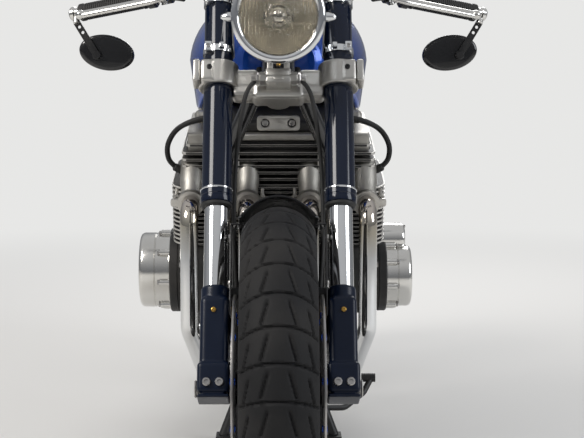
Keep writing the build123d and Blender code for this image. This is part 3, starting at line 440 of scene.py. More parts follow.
tyre_rubber = finish("tyre_rubber", (0.013, 0.013, 0.014), (0.05, 0.047, 0.044), wear=0.35, rough=0.66,
                     spread=0.2, grain=900, bump=0.12, patch=7, specular=0.22)
TREAD_PITCHES = 34
TREAD_DEPTH = 0.0042
SLOT_HALF = 0.0028


def slot_depth(across, down, half_width, pitch_length):
    """How deep the tread is cut at a share across the crown and a share down the pitch."""
    deepest = 0.0
    side = abs(across)
    arc_gap = (down - 0.24 * across ** 2 + 0.5) % 1.0 - 0.5
    if side < 0.94:
        deepest = max(deepest, 1 - abs(arc_gap) * pitch_length / SLOT_HALF)
    for low, high, inner, outer, width in ((0.18, 0.95, 0.2, 0.37, 1.0), (0.35, 1.2, 0.64, 0.82, 0.85)):
        for lap in (down, down + 1):
            if low < lap < high:
                line = inner + (outer - inner) * (lap - low) / (high - low)
                taper = min(1.0, (lap - low) * 6)
                deepest = max(deepest, (1 - abs(side - line) * half_width / (SLOT_HALF * width)) * taper)
    return TREAD_DEPTH * min(1.0, max(0.0, deepest) * 1.9)


# columns: name, half width, outer radius, rim half width, columns over the crown, axle, body
for tyre_name, half, outer, rim_half, crown_columns, axle, body in (
    ("front_tyre", 0.06, 0.3, 0.046, 60, FRONT_AXLE, "front_wheel_set"),
    ("rear_tyre", 0.078, 0.312, 0.062, 62, REAR_AXLE, "rear_wheel_set"),
):
    drop = half * 0.62
    crown_r = (half ** 2 + drop ** 2) / (2 * drop)
    reach = atan2(half, crown_r - drop)
    pitch_angle = 2 * pi / TREAD_PITCHES
    rows = 22
    wall = [
        (half - 0.0002, outer - drop - 0.004), (half + 0.0002, outer - drop - 0.0075),
        (half - 0.0006, outer - drop - 0.009), (half - 0.0012, 0.5 * (outer - drop) + 0.1165),
        (half - 0.004, 0.2415), (half - 0.0035, 0.2395), (half - 0.007, 0.2365),
        (rim_half + 0.002, 0.2335), (rim_half, 0.233), (rim_half, 0.2182), (0, 0.2182),
    ]
    part = bmesh.new()
    grid = []
    for row in range(rows + 1):
        angle = radians(9) - pitch_angle * row / rows
        line = []
        for column in range(crown_columns + 1):
            across = column / crown_columns * 2 - 1
            cut = slot_depth(across, row / rows, half, pitch_angle * outer)
            lean_out = across * reach
            line.append(((crown_r - cut) * sin(lean_out), outer - crown_r + (crown_r - cut) * cos(lean_out)))
        line = [(-x, r) for x, r in wall[::-1]] + line + wall
        grid.append([part.verts.new((x, -r * cos(angle), r * sin(angle))) for x, r in line])
    for upper, lower in zip(grid, grid[1:]):
        for column in range(len(upper) - 1):
            part.faces.new((upper[column], lower[column], lower[column + 1], upper[column + 1]))
    round_axle(tyre_name + "_treaded", part, TREAD_PITCHES, axle, tyre_rubber, body, "tyre_rubber",
               tyre_name, crease=50)


# Wheels: black five-spoke castings with hollow-backed rims and ribbed spokes, and a rubber tyre
# valve in each rim.
along_x = Matrix(((0, 0, 1, 0), (1, 0, 0, 0), (0, 1, 0, 0), (0, 0, 0, 1)))


def add_ring(part, loop, centre, axis, segments=32):
    """Lathe a closed loop of (along, radius), which doesn't reach the axis."""
    rings = add_rings(part, loop, centre, axis, segments)
    for low, high in zip(rings, rings[1:] + rings[:1]):
        join_rings(part, low, high)


def cast(name, part, voxel, material, body, slot_name, *replaced, place=Matrix(), smoothing=6, keep=0.5):
    """One cast skin: the shapes in part are melted together, smoothed where they meet and thinned."""
    bmesh.ops.transform(part, matrix=place, verts=part.verts)
    bmesh.ops.recalc_face_normals(part, faces=part.faces)
    obj = link(name, as_mesh(name, part))
    melt = obj.modifiers.new("melt", "REMESH")
    melt.mode = "VOXEL"
    melt.voxel_size = voxel
    relax = obj.modifiers.new("relax", "SMOOTH")
    relax.factor = 0.5
    relax.iterations = smoothing
    obj.modifiers.new("thin", "DECIMATE").ratio = keep
    evaluated(obj)
    obj.data.shade_smooth()
    obj.data.materials.clear()
    obj.data.materials.append(material)
    return settle(obj, body, slot_name, *replaced)


cast_wheel = finish("cast_wheel", (0.014, 0.014, 0.016), (0.03, 0.03, 0.032), wear=0.4, rough=0.38,
                    spread=0.15, grain=500, bump=0.08, coat=0.2)


def add_shape(part, shape):
    """Put one bmesh into another and free it."""
    carrier = bpy.data.meshes.new("carrier")
    shape.to_mesh(carrier)
    shape.free()
    part.from_mesh(carrier)
    bpy.data.meshes.remove(carrier)


def add_plate(part, loops, thickness, place, edge=0.0):
    """Flat plate: the first loop of (u, v) is its outline and the others are holes."""
    curve = bpy.data.curves.new("outline", "CURVE")
    curve.dimensions = "2D"
    curve.fill_mode = "BOTH"
    curve.extrude = thickness / 2 - edge
    curve.bevel_depth = edge
    curve.bevel_resolution = 1
    for loop in loops:
        spline = curve.splines.new("POLY")
        spline.points.add(len(loop) - 1)
        for point, (u, v) in zip(spline.points, loop):
            point.co = (u, v, 0, 1)
        spline.use_cyclic_u = True
    carrier = bpy.data.objects.new("outline", curve)
    mesh = bpy.data.meshes.new_from_object(carrier)
    mesh.transform(place)
    cut = bmesh.new()
    cut.from_mesh(mesh)
    bmesh.ops.remove_doubles(cut, verts=cut.verts, dist=0.00001)
    add_shape(part, cut)
    bpy.data.objects.remove(carrier)
    bpy.data.curves.remove(curve)
    bpy.data.meshes.remove(mesh)


# columns: name, rim half width, hub radius, hub half width, axle bore, centre, body
for wheel_name, half, hub_r, hub_half, bore, axle, body in (
    ("front_wheel", 0.046, 0.034, 0.0695, 0.0115, FRONT_AXLE, "front_wheel_set"),
    ("rear_wheel", 0.062, 0.044, 0.092, 0.0105, REAR_AXLE, "rear_wheel_set"),
):
    part = bmesh.new()
    edge = half + 0.0055
    add_ring(part, [
        (-edge, 0.2296), (-half - 0.0012, 0.2296), (-half - 0.0012, 0.2165), (half + 0.0012, 0.2165),
        (half + 0.0012, 0.2296),
        (edge, 0.2296), (edge, 0.2125), (half - 0.01, 0.201), (0.014, 0.1985), (-0.014, 0.1985),
        (-half + 0.01, 0.201), (-edge, 0.2125),
    ], axle, (1, 0, 0), 96)
    add_ring(part, [(-hub_half, bore), (-hub_half, hub_r - 0.006), (-hub_half + 0.012, hub_r),
                    (hub_half - 0.012, hub_r), (hub_half, hub_r - 0.006), (hub_half, bore)], axle,
             (1, 0, 0), 48)
    for spoke in range(5):
        way = Matrix.Translation(axle) @ Matrix.Rotation(radians(72 * spoke), 4, "X")
        foot = [(-0.026, hub_r - 0.006), (0.026, hub_r - 0.006), (0.017, 0.205), (-0.017, 0.205)]
        for rib_x in (-0.016, 0.01):
            add_plate(part, [foot], 0.01, way @ Matrix.Translation((rib_x + 0.003, 0, 0)) @ along_x)
        add_plate(part, [[(-0.007, hub_r - 0.006), (0.007, hub_r - 0.006), (0.0055, 0.205),
                          (-0.0055, 0.205)]], 0.034,
                  way @ along_x)
    cast(wheel_name + "_casting", part, 0.003, cast_wheel, body, "cast_wheel", wheel_name, smoothing=4,
         keep=0.38)
    part = bmesh.new()
    valve = axle + Vector((0.012, 0.035, 0.1955))
    add_turned(part, [(0, 0), (0, 0.0055), (0.006, 0.005), (0.012, 0.0035), (0.03, 0.0035),
                      (0.0305, 0.0042), (0.038, 0.004), (0.039, 0)],
               valve, (0, -0.15, -1), 16)
    piece(wheel_name + "_valve", part, black_rubber, body, "tyre_rubber")


# Front discs: two drilled steel rotors on black alloy carriers with five arms, joined by ten blue
# floating buttons each. Five screws hold each carrier to the hub.
bare_steel = finish("bare_steel", (0.48, 0.47, 0.46), (0.3, 0.28, 0.26), wear=0.6, rough=0.3, spread=0.2,
                    grain=700, bump=0.05, patch=20, metallic=1.0)
black_satin = finish("black_satin", (0.014, 0.014, 0.015), (0.032, 0.031, 0.03), wear=0.5, rough=0.42,
                     spread=0.2, grain=600, bump=0.07, patch=12, metallic=0.1)
blue_anodised = finish("blue_anodised", (0.03, 0.1, 0.55), (0.03, 0.08, 0.4), wear=0.5, rough=0.26,
                       spread=0.1, grain=600, bump=0.03, patch=20, metallic=1.0)


def put_on_seats(tree, tree_in, tree_out, drawn):
    """The copies of a drawn piece stand on the mesh's points, each along its point's direction."""
    points = add_node(tree, "GeometryNodeMeshToPoints", {"Mesh": (tree_in, "Geometry")})
    way = add_node(tree, "GeometryNodeInputNamedAttribute", {"Name": "direction"}, data_type="FLOAT_VECTOR")
    aim = add_node(tree, "FunctionNodeAlignRotationToVector", {"Vector": way}, axis="Z")
    end_tree(tree, tree_in, tree_out, add_node(tree, "GeometryNodeInstanceOnPoints", {
        "Points": points, "Instance": drawn, "Rotation": aim,
    }))


def seats_mesh(name, seats, place=Matrix()):
    """Mesh of bare points with a direction each, from seats of (place, direction)."""
    mesh = bpy.data.meshes.new(name)
    mesh.from_pydata([place @ Vector(spot) for spot, _ in seats], [], [])
    attribute = mesh.attributes.new("direction", "FLOAT_VECTOR", "POINT")
    for item, (_, way) in zip(attribute.data, seats):
        item.vector = place.to_3x3() @ Vector(way)
    return mesh


# Screw heads: a chamfered head with a key socket at each seat. Plain domes and hexagon heads are
# the same head with other numbers.
screw_tree, screw_in, screw_out = new_group("screw_heads", "GeometryNodeTree", {
    "Geometry": "Geometry", "Radius": "Float", "Height": "Float", "Sides": "Int", "Socket Share": "Float",
    "Socket Depth": "Float", "Material": "Material",
}, {"Geometry": "Geometry"})
head = add_node(screw_tree, "GeometryNodeMeshCylinder", {
    "Radius": (screw_in, "Radius"), "Depth": (screw_in, "Height"), "Vertices": (screw_in, "Sides"),
})
half_height = add_node(screw_tree, "ShaderNodeMath", {0: (screw_in, "Height"), 1: 0.5}, operation="MULTIPLY")
raised = add_node(screw_tree, "GeometryNodeTransform", {
    "Geometry": head, "Translation": add_node(screw_tree, "ShaderNodeCombineXYZ", {"Z": half_height}),
})
edge_height = add_node(screw_tree, "ShaderNodeMath", {0: (screw_in, "Height"), 1: 0.22}, operation="MULTIPLY")
edge = add_node(screw_tree, "GeometryNodeExtrudeMesh", {
    "Mesh": raised, "Selection": (head, "Top"), "Offset Scale": edge_height, "Individual": False,
})
drawn_edge = add_node(screw_tree, "GeometryNodeScaleElements", {
    "Geometry": edge, "Selection": (edge, "Top"), "Scale": 0.84,
})
face = add_node(screw_tree, "GeometryNodeExtrudeMesh", {
    "Mesh": drawn_edge, "Selection": (edge, "Top"), "Offset Scale": 0, "Individual": False,
})
mouth = add_node(screw_tree, "GeometryNodeScaleElements", {
    "Geometry": face, "Selection": (face, "Top"), "Scale": (screw_in, "Socket Share"),
})
put_on_seats(screw_tree, screw_in, screw_out, add_node(screw_tree, "GeometryNodeExtrudeMesh", {
    "Mesh": mouth, "Selection": (face, "Top"), "Offset Scale": (screw_in, "Socket Depth"),
    "Individual": False,
}))


def screws(name, seats, radius, height, material, body, slot_name, sides=20, socket=0.55, place=Matrix()):
    """Screw heads on seats of (place, direction); socket is its share of the head, or none."""
    values = {
        "Radius": radius, "Height": height * 0.8, "Sides": sides, "Socket Share": socket or 0.5,
        "Socket Depth": -height * 0.55 if socket else 0.0, "Material": material,
    }
    return settle(grow(name, seats_mesh(name, seats, place), screw_tree, 35, values), body, slot_name)


def circle_loop(centre_u, centre_v, radius, steps=24):
    """Loop of (u, v) round a circle."""
    return [(centre_u + radius * cos(2 * pi * k / steps), centre_v + radius * sin(2 * pi * k / steps))
            for k in range(steps)]


def window(inner, outer, start, end, steps=8):
    """Loop of a lightening window between two radii and two angles."""
    arc = [start + (end - start) * k / steps for k in range(steps + 1)]
    return [(outer * cos(a), outer * sin(a)) for a in arc] + [(inner * cos(a), inner * sin(a))
                                                              for a in arc[::-1]]


def rotor_loops(outer, inner, groups, per_group, hole):
    """Outline, bore and the drilled holes of a brake rotor."""
    loops = [circle_loop(0, 0, outer, 96), circle_loop(0, 0, inner, 72)]
    for group in range(groups):
        for index in range(per_group):
            angle = 2 * pi * group / groups + radians(5.5) * index
            radius = inner + hole + 0.004 + (outer - inner - 2 * hole - 0.008) * index / (per_group - 1)
            loops.append(circle_loop(radius * cos(angle), radius * sin(angle), hole, 12))
    return loops


rotor_part = bmesh.new()
carrier_part = bmesh.new()
button_part = bmesh.new()
for side in LEFT_RIGHT:
    seat = Matrix.Translation(FRONT_AXLE + Vector((side * 0.072, 0, 0))) @ along_x
    add_plate(rotor_part, rotor_loops(0.155, 0.1215, 12, 4, 0.0028), 0.0046, seat, 0.0004)
    arms = [circle_loop(0, 0, 0.1235, 90), circle_loop(0, 0, 0.0172, 24)]
    for arm in range(5):
        arms.append(window(0.05, 0.11, radians(72 * arm + 12), radians(72 * arm + 60)))
        arms.append(circle_loop(0.086 * cos(radians(72 * arm)), 0.086 * sin(radians(72 * arm)), 0.008, 16))
    add_plate(carrier_part, arms, 0.0038, seat, 0.0004)
    for button in range(10):
        turn = radians(36 * button + 18)
        spot = FRONT_AXLE + Vector((side * 0.072, 0.1222 * cos(turn), 0.1222 * sin(turn)))
        add_turned(button_part, [(-0.0042, 0), (-0.0042, 0.005), (-0.003, 0.0062), (0.003, 0.0062),
                                 (0.0042, 0.005), (0.0042, 0.0024), (0.002, 0.0022), (0.002, 0)], spot,
                   (1, 0, 0), 16)
piece("front_rotors", rotor_part, bare_steel, "front_wheel_set", "disc_steel", "front_discs", crease=25)
piece("front_disc_carriers", carrier_part, black_satin, "front_wheel_set", "black_metal", crease=25)
piece("front_disc_buttons", button_part, blue_anodised, "front_wheel_set", "disc_steel")
screws("front_disc_screws", [
    (FRONT_AXLE + Vector((side * 0.0742, 0.0275 * cos(radians(72 * k)), 0.0275 * sin(radians(72 * k)))),
     (side, 0, 0))
    for side in LEFT_RIGHT for k in range(5)
], 0.0052, 0.005, bare_steel, "front_wheel_set", "disc_steel")


# Fork outer tubes: dark blue lacquer over turned alloy, with a stepped collar at the lower end and
# a groove near the top. Both yokes clamp them.
navy_gloss = finish("navy_gloss", (0.002, 0.006, 0.02), (0.003, 0.008, 0.024), wear=0.5, rough=0.14,
                    spread=0.06, grain=700, bump=0.01, patch=6, coat=0.35, specular=0.22)
chrome = finish("chrome", (0.8, 0.81, 0.82), (0.66, 0.66, 0.66), wear=0.3, rough=0.07, spread=0.06,
                grain=300, bump=0.01, patch=10, metallic=1.0)
LEG = 0.107
part = bmesh.new()
for side in LEFT_RIGHT:
    add_ring(part, [
        (0.3232, 0.0216), (0.3232, 0.0262), (0.324, 0.0276), (0.3252, 0.028), (0.3335, 0.028),
        (0.3345, 0.0273), (0.3368, 0.0273), (0.3378, 0.028),
        (0.3462, 0.028), (0.3475, 0.0272), (0.349, 0.0262), (0.352, 0.026), (0.799, 0.026),
        (0.7998, 0.0253), (0.8012, 0.0253), (0.802, 0.026), (0.8138, 0.026), (0.815, 0.025), (0.815, 0.0216),
    ], (side * LEG, 0, 0), (0, 0, 1), 64)
piece("fork_tubes", part, navy_gloss, "front_end", "fork_outer", "fork_outers", place=fork_place, crease=30)
dress("fork_sliders", chrome)
dress("front_axle", bare_steel)


# Fork legs: dark blue outer tubes over bright sliders. Each has a rubber dust seal and its wire
# clip under the collar, a spring adjuster on the cap, and a foot that clamps the axle.
gold_anodised = finish("gold_anodised", (0.55, 0.33, 0.08), (0.42, 0.25, 0.07), wear=0.5, rough=0.28,
                       spread=0.1, grain=600, bump=0.03, patch=20, metallic=1.0)
part = bmesh.new()
for side in LEFT_RIGHT:
    add_ring(part, [(0.316, 0.021), (0.316, 0.0235), (0.3185, 0.0262), (0.3228, 0.0268), (0.3228, 0.021)],
             (side * LEG, 0, 0), (0, 0, 1), 40)
piece("fork_dust_seals", part, black_rubber, "front_end", "rubber", place=fork_place)
part = bmesh.new()
for side in LEFT_RIGHT:
    add_ring(part, [(0.3462, 0.0279), (0.347, 0.0287), (0.349, 0.0287), (0.3498, 0.0279)],
             (side * LEG, 0, 0), (0, 0, 1), 40)
    add_turned(part, [(0.815, 0), (0.815, 0.0215), (0.8175, 0.0225), (0.8195, 0.0215), (0.82, 0.012),
                      (0.82, 0)], (side * LEG, 0, 0), (0, 0, 1), 40)
piece("fork_caps", part, chrome, "front_end", "chrome", place=fork_place)
screws("fork_cap_hexagons", [((side * LEG, 0, 0.82), (0, 0, 1)) for side in LEFT_RIGHT], 0.011, 0.006,
       blue_anodised, "front_end", "chrome", sides=6, socket=0.35, place=fork_place)
screws("axle_pinch_bolts", [((side * LEG + dx, -0.0322, 0.0045), (0, -1, 0)) for side in LEFT_RIGHT
                            for dx in (-0.0105, 0.0105)],
       0.007, 0.006, bare_steel, "front_end", "steel", socket=0.62, place=fork_place)
screws("calliper_bolts", [((side * 0.092, 0.02, s), (0, -1, 0)) for side in LEFT_RIGHT
                          for s in (0.108, 0.162)],
       0.0075, 0.006, gold_anodised, "front_end", "steel", sides=12, place=fork_place)
part = bmesh.new()
for side in LEFT_RIGHT:
    add_ring(part, [(0.135, 0.0072), (0.135, 0.015), (0.1365, 0.0165), (0.1385, 0.015), (0.1385, 0.0072)],
             FRONT_AXLE, (side, 0, 0), 6)
piece("front_axle_nuts", part, bare_steel, "front_end", "steel", crease=20)


# Fork feet: rounded castings in a satin coat of the same blue, split along the front of the axle
# clamp, with two bosses each for the calliper and a small gold drain screw.
navy_satin = finish("navy_satin", (0.003, 0.008, 0.024), (0.007, 0.013, 0.032), wear=0.5, rough=0.34,
                    spread=0.12, grain=600, bump=0.05, patch=12, coat=0.08, specular=0.22)


def add_block(part, low, high, edge=0.001, steps=2, place=None):
    """Box with rounded edges, turned and moved by a matrix where one is given."""
    box = bmesh.new()
    size = Vector(high) - Vector(low)
    bmesh.ops.create_cube(box, size=1)
    bmesh.ops.scale(box, vec=size, verts=box.verts)
    bmesh.ops.translate(box, vec=(Vector(high) + Vector(low)) / 2, verts=box.verts)
    bmesh.ops.bevel(box, geom=box.edges[:], offset=edge, segments=steps, profile=0.5, affect="EDGES")
    if place:
        bmesh.ops.transform(box, matrix=place, verts=box.verts)
    add_shape(part, box)


part = bmesh.new()
for side in LEFT_RIGHT:
    add_block(part, (side * LEG - 0.0238, -0.0268, 0.0), (side * LEG + 0.0238, 0.0268, 0.154), 0.01, 4)
    add_turned(part, [(0.1, 0), (0.1, 0.0238), (0.17, 0.0238), (0.1736, 0.0215), (0.1736, 0)],
               (side * LEG, 0, 0), (0, 0, 1), 48)
    add_block(part, (side * LEG - 0.0268, -0.0318, -0.0118), (side * LEG + 0.0268, 0.0318, 0.0398), 0.007, 4)
    add_block(part, (side * LEG - 0.0268, -0.0318, -0.0198), (side * LEG + 0.0268, 0.0318, -0.0146),
              0.0022, 2)
    add_block(part, (side * LEG - 0.0268, 0.004, -0.0198), (side * LEG + 0.0268, 0.0318, 0.01), 0.006, 4)
    for s in (0.108, 0.162):
        add_block(part, (side * 0.092 - 0.0088, 0.018, s - 0.0098),
                  (side * 0.092 + 0.0088, 0.0358, s + 0.0098), 0.003, 3)
cast("fork_feet_castings", part, 0.0017, navy_satin, "front_end", "fork_foot", "fork_feet",
     place=fork_place, smoothing=3, keep=0.35)
screws("fork_drain_screws", [((side * (LEG + 0.001), -0.027, 0.128), (0, -1, 0)) for side in LEFT_RIGHT],
       0.0042, 0.0026, gold_anodised, "front_end", "steel", place=fork_place)


# Front calliper castings: black alloy, in two halves bridged outside the disc and bulging over the
# pistons, bolted to the bosses behind the fork foot.
def add_bar(part, start, end, radius, edge=0.0006, segments=24):
    """Round bar with broken edges between two points."""
    length = (Vector(end) - Vector(start)).length
    profile = [(0, 0), (0, radius - edge), (edge, radius), (length - edge, radius),
               (length, radius - edge), (length, 0)]
    add_turned(part, profile, start, Vector(end) - Vector(start), segments)


part = bmesh.new()
for side in LEFT_RIGHT:
    for low_x, high_x in ((0.0415, 0.0655), (0.0785, 0.1005)):
        x0, x1 = sorted((side * low_x, side * high_x))
        add_block(part, (x0, 0.0372, 0.086), (x1, 0.0935, 0.187), 0.007, 3)
    x0, x1 = sorted((side * 0.0415, side * 0.1005))
    add_block(part, (x0, 0.0372, 0.167), (x1, 0.0935, 0.187), 0.006, 3)
    add_block(part, (x0, 0.0882, 0.142), (x1, 0.0938, 0.18), 0.002, 2)
    for s in (0.11, 0.162):
        add_bar(part, (side * 0.0785, 0.064, s), (side * 0.101, 0.064, s), 0.0165, 0.002, 32)
        add_bar(part, (side * 0.0412, 0.064, s), (side * 0.0655, 0.064, s), 0.0165, 0.002, 32)
        add_block(part, (side * 0.092 - 0.0075, 0.036, s - 0.008 - (0.002 if s < 0.12 else 0)),
                  (side * 0.092 + 0.0075, 0.048, s + 0.008), 0.002, 2)
cast("calliper_castings", part, 0.0019, black_satin, "front_end", "black_metal", "front_callipers",
     place=fork_place, smoothing=3, keep=0.4)


# Front callipers: what is fixed to the castings, which are steel piston caps, gold pad plates on
# both sides of each disc, body bolts, and the hose union on top.
caps = bmesh.new()
pads = bmesh.new()
pad_turn = Matrix.Rotation(-atan2(0.064, 0.136), 4, "X")
for side in LEFT_RIGHT:
    for s in (0.11, 0.162):
        for across, way in ((0.1012, 1), (0.0408, -1)):
            add_turned(caps, [(-0.004, 0), (-0.004, 0.014), (0.0012, 0.0132), (0.0012, 0.0098),
                              (-0.0004, 0.0092), (-0.0004, 0)],
                       (side * across, 0.064, s), (side * way, 0, 0), 28)
    for across in (0.0655, 0.0785):
        add_block(pads, (side * across - 0.0028, -0.03, 0.131), (side * across + 0.0028, 0.03, 0.154),
                  0.0008, place=pad_turn)
    add_turned(caps, [(0, 0), (0, 0.005), (0.007, 0.005), (0.009, 0.003), (0.014, 0.003), (0.016, 0.0042),
                      (0.02, 0.0038), (0.02, 0)],
               (side * 0.085, 0.076, 0.1885), (0, 0, 1), 12)
piece("calliper_piston_caps", caps, bare_steel, "front_end", "steel", place=fork_place)
piece("brake_pads", pads, gold_anodised, "front_end", "steel", place=fork_place)
screws("calliper_body_bolts", [((side * 0.1012, 0.064 + back, s), (side, 0, 0)) for side in LEFT_RIGHT
                               for back, s in ((0.021, 0.092), (0.021, 0.18), (-0.019, 0.136))],
       0.0052, 0.005, black_satin, "front_end", "black_metal", place=fork_place)


# Front mudguard: a short gloss black blade with rolled edges, close over the back of the tyre, on
# drilled stays from the fork feet.
def three_point_arc(a, b, c, steps):
    """Points on the circle through three (u, v) places, from a to c."""
    d = 2 * (a[0] * (b[1] - c[1]) + b[0] * (c[1] - a[1]) + c[0] * (a[1] - b[1]))
    squares = [u * u + v * v for u, v in (a, b, c)]
    centre_u = (squares[0] * (b[1] - c[1]) + squares[1] * (c[1] - a[1]) + squares[2] * (a[1] - b[1])) / d
    centre_v = (squares[0] * (c[0] - b[0]) + squares[1] * (a[0] - c[0]) + squares[2] * (b[0] - a[0])) / d
    radius = sqrt((a[0] - centre_u) ** 2 + (a[1] - centre_v) ** 2)
    start = atan2(a[1] - centre_v, a[0] - centre_u)
    end = atan2(c[1] - centre_v, c[0] - centre_u)
    while end > start:
        end -= 2 * pi
    while start - end > 2 * pi:
        end += 2 * pi
    return [(centre_u + radius * cos(start + (end - start) * k / steps),
             centre_v + radius * sin(start + (end - start) * k / steps)) for k in range(steps + 1)]


gloss_black = finish("gloss_black", (0.008, 0.008, 0.009), (0.014, 0.014, 0.015), wear=0.5, rough=0.22,
                     spread=0.1, grain=400, bump=0.02, patch=8, coat=1.0, specular=0.22)
part = bmesh.new()
across = three_point_arc((-0.066, 0.2835), (0, 0.3175), (0.066, 0.2835), 22)
outside = three_point_arc((-0.066, 0.2862), (0, 0.3207), (0.066, 0.2862), 22)
bead = [(0.067 + 0.0016 * cos(radians(a)), 0.2848 + 0.0016 * sin(radians(a))) for a in (60, 10, -40, -90)]
profile = [*outside, *bead, *across[::-1], *[(-x, r) for x, r in bead[::-1]]]
rows = []
for k in range(61):
    angle = radians(81.4 - 86.8 * k / 60)
    end_share = min(1.0, 0.9 + 0.1 * min(k, 60 - k) / 3)
    rows.append([part.verts.new(FRONT_AXLE + Vector((x * end_share, r * cos(angle), r * sin(angle))))
                 for x, r in profile])
for low, high in zip(rows, rows[1:]):
    for k in range(len(low)):
        part.faces.new((low[k], low[(k + 1) % len(low)], high[(k + 1) % len(low)], high[k]))
for end in (rows[0], rows[-1][::-1]):
    for k in range(22):
        part.faces.new((end[k], end[k + 1], end[47 - k], end[48 - k]))
stays = bmesh.new()
for side in LEFT_RIGHT:
    loop = [(-0.0135, 0.1225), (0.0135, 0.1225), (0.0135, 0.276), (0.01, 0.2845), (-0.01, 0.2845),
            (-0.0135, 0.276)]
    add_plate(stays, [loop, circle_loop(0, 0.19, 0.0065, 20), circle_loop(0, 0.214, 0.0065, 20),
                      circle_loop(0, 0.238, 0.0065, 20)], 0.0028,
              Matrix.Translation((side * 0.0811, 0, 0)) @ along_x, 0.0004)
    x0, x1 = sorted((side * 0.0605, side * 0.0824))
    add_block(stays, (x0, -0.013, 0.2822), (x1, 0.013, 0.285), 0.001)
bmesh.ops.transform(stays, matrix=fork_place, verts=stays.verts)
add_shape(part, stays)
piece("mudguard_blade", part, gloss_black, "front_end", "gloss_black", "front_mudguard", crease=40)


# Mudguard fixings: two small steel screws with key sockets through the top of each stay, side by
# side under the blade's edge.
screws("mudguard_screws", [((side * 0.0828, back, 0.262), (side, 0, 0)) for side in LEFT_RIGHT
                           for back in (-0.008, 0.008)],
       0.0045, 0.003, bare_steel, "front_end", "steel", socket=0.5, place=fork_place)


# Steering bearings: bright steel cups pressed into both ends of the frame's head tube, in which the
# steering stem turns.
part = bmesh.new()
for low, high in ((0.5562, 0.5615), (0.7565, 0.7618)):
    add_ring(part, [(low, 0.016), (low, 0.0308), (low + 0.001, 0.0316), (high - 0.001, 0.0316),
                    (high, 0.0308), (high, 0.016)], (0, 0.03, 0), (0, 0, 1), 56)
piece("head_bearing_cups", part, chrome, "chassis", "steel", place=fork_place, crease=30)


# Lower yoke: satin cast alloy. A slotted clamp round each leg has a pinch ear on its outer side;
# a beam joins them under the lamp, with the hose block on its face and the stem's round foot below.
satin_alloy = finish("satin_alloy", (0.6, 0.585, 0.55), (0.44, 0.425, 0.4), wear=0.6, rough=0.36, spread=0.2,
                     grain=900, bump=0.12, patch=14, metallic=1.0)
part = bmesh.new()
for side in LEFT_RIGHT:
    add_ring(part, [(0.541, 0.0264), (0.541, 0.0345), (0.5425, 0.036), (0.5845, 0.036), (0.586, 0.0345),
                    (0.586, 0.0264)],
             (side * LEG, 0, 0), (0, 0, 1), 48)
    add_block(part, (side * 0.125 - 0.013, -0.038, 0.5415), (side * 0.125 + 0.013, 0.004, 0.5855), 0.006)
    add_bar(part, (side * 0.0715, 0.006, 0.5405), (side * 0.048, 0.01, 0.5405), 0.0175, 0.002)
    add_block(part, (side * 0.055 - 0.027, -0.012, 0.5245), (side * 0.055 + 0.027, 0.028, 0.5535), 0.007)
    add_block(part, (side * 0.06 - 0.025, -0.013, 0.538), (side * 0.06 + 0.025, 0.009, 0.5765), 0.008, 3)
add_block(part, (-0.045, -0.014, 0.5205), (0.045, 0.032, 0.5495), 0.007)
add_turned(part, [(0.524, 0), (0.524, 0.019), (0.5262, 0.0222), (0.538, 0.03), (0.552, 0.031), (0.552, 0)],
           (0, 0.03, 0), (0, 0, 1), 48)
cast("lower_yoke_casting", part, 0.0015, satin_alloy, "front_end", "cast_alloy", "lower_yoke",
     place=fork_place, smoothing=5, keep=0.35)
part = bmesh.new()
add_block(part, (-0.0225, -0.0455, 0.5345), (0.0225, -0.01, 0.5625), 0.0035)
add_bar(part, (-0.0335, -0.034, 0.547), (0.0335, -0.034, 0.547), 0.0122, 0.0015, 8)
add_block(part, (-0.0085, -0.047, 0.5385), (0.0085, -0.045, 0.545), 0.0007)
for side in LEFT_RIGHT:
    add_block(part, (side * 0.015 - 0.0052, -0.044, 0.56), (side * 0.015 + 0.0052, -0.0345, 0.5985), 0.002)
    add_block(part, (side * 0.1445 - 0.0065, -0.0368, 0.5425), (side * 0.1445 + 0.0065, 0.003, 0.5845),
              0.0035, 3)
piece("hose_block", part, satin_alloy, "front_end", "cast_alloy", place=fork_place)
part = bmesh.new()
add_turned(part, [(0.552, 0), (0.552, 0.0149), (0.808, 0.0149), (0.8085, 0)], (0, 0.03, 0), (0, 0, 1), 32)
piece("steering_stem", part, bare_steel, "front_end", "steel", place=fork_place)
screws("lower_yoke_bolts", [((side * 0.1215, -0.0374, 0.568), (0, -1, 0)) for side in LEFT_RIGHT]
       + [((side * 0.015, -0.0442, 0.589), (0, -1, 0)) for side in LEFT_RIGHT],
       0.0048, 0.003, black_satin, "front_end", "steel", place=fork_place)
part = bmesh.new()
for side in LEFT_RIGHT:
    add_ring(part, [(0.033, 0.0042), (0.033, 0.0095), (0.0345, 0.0105), (0.0375, 0.0105), (0.039, 0.0095),
                    (0.039, 0.0042)],
             (0, -0.034, 0.547), (side, 0, 0), 6)
    add_bar(part, (side * 0.0375, -0.034, 0.547), (side * 0.048, -0.034, 0.5455), 0.0068, 0.0008, 20)
piece("hose_unions", part, bare_steel, "front_end", "steel", place=fork_place, crease=25)


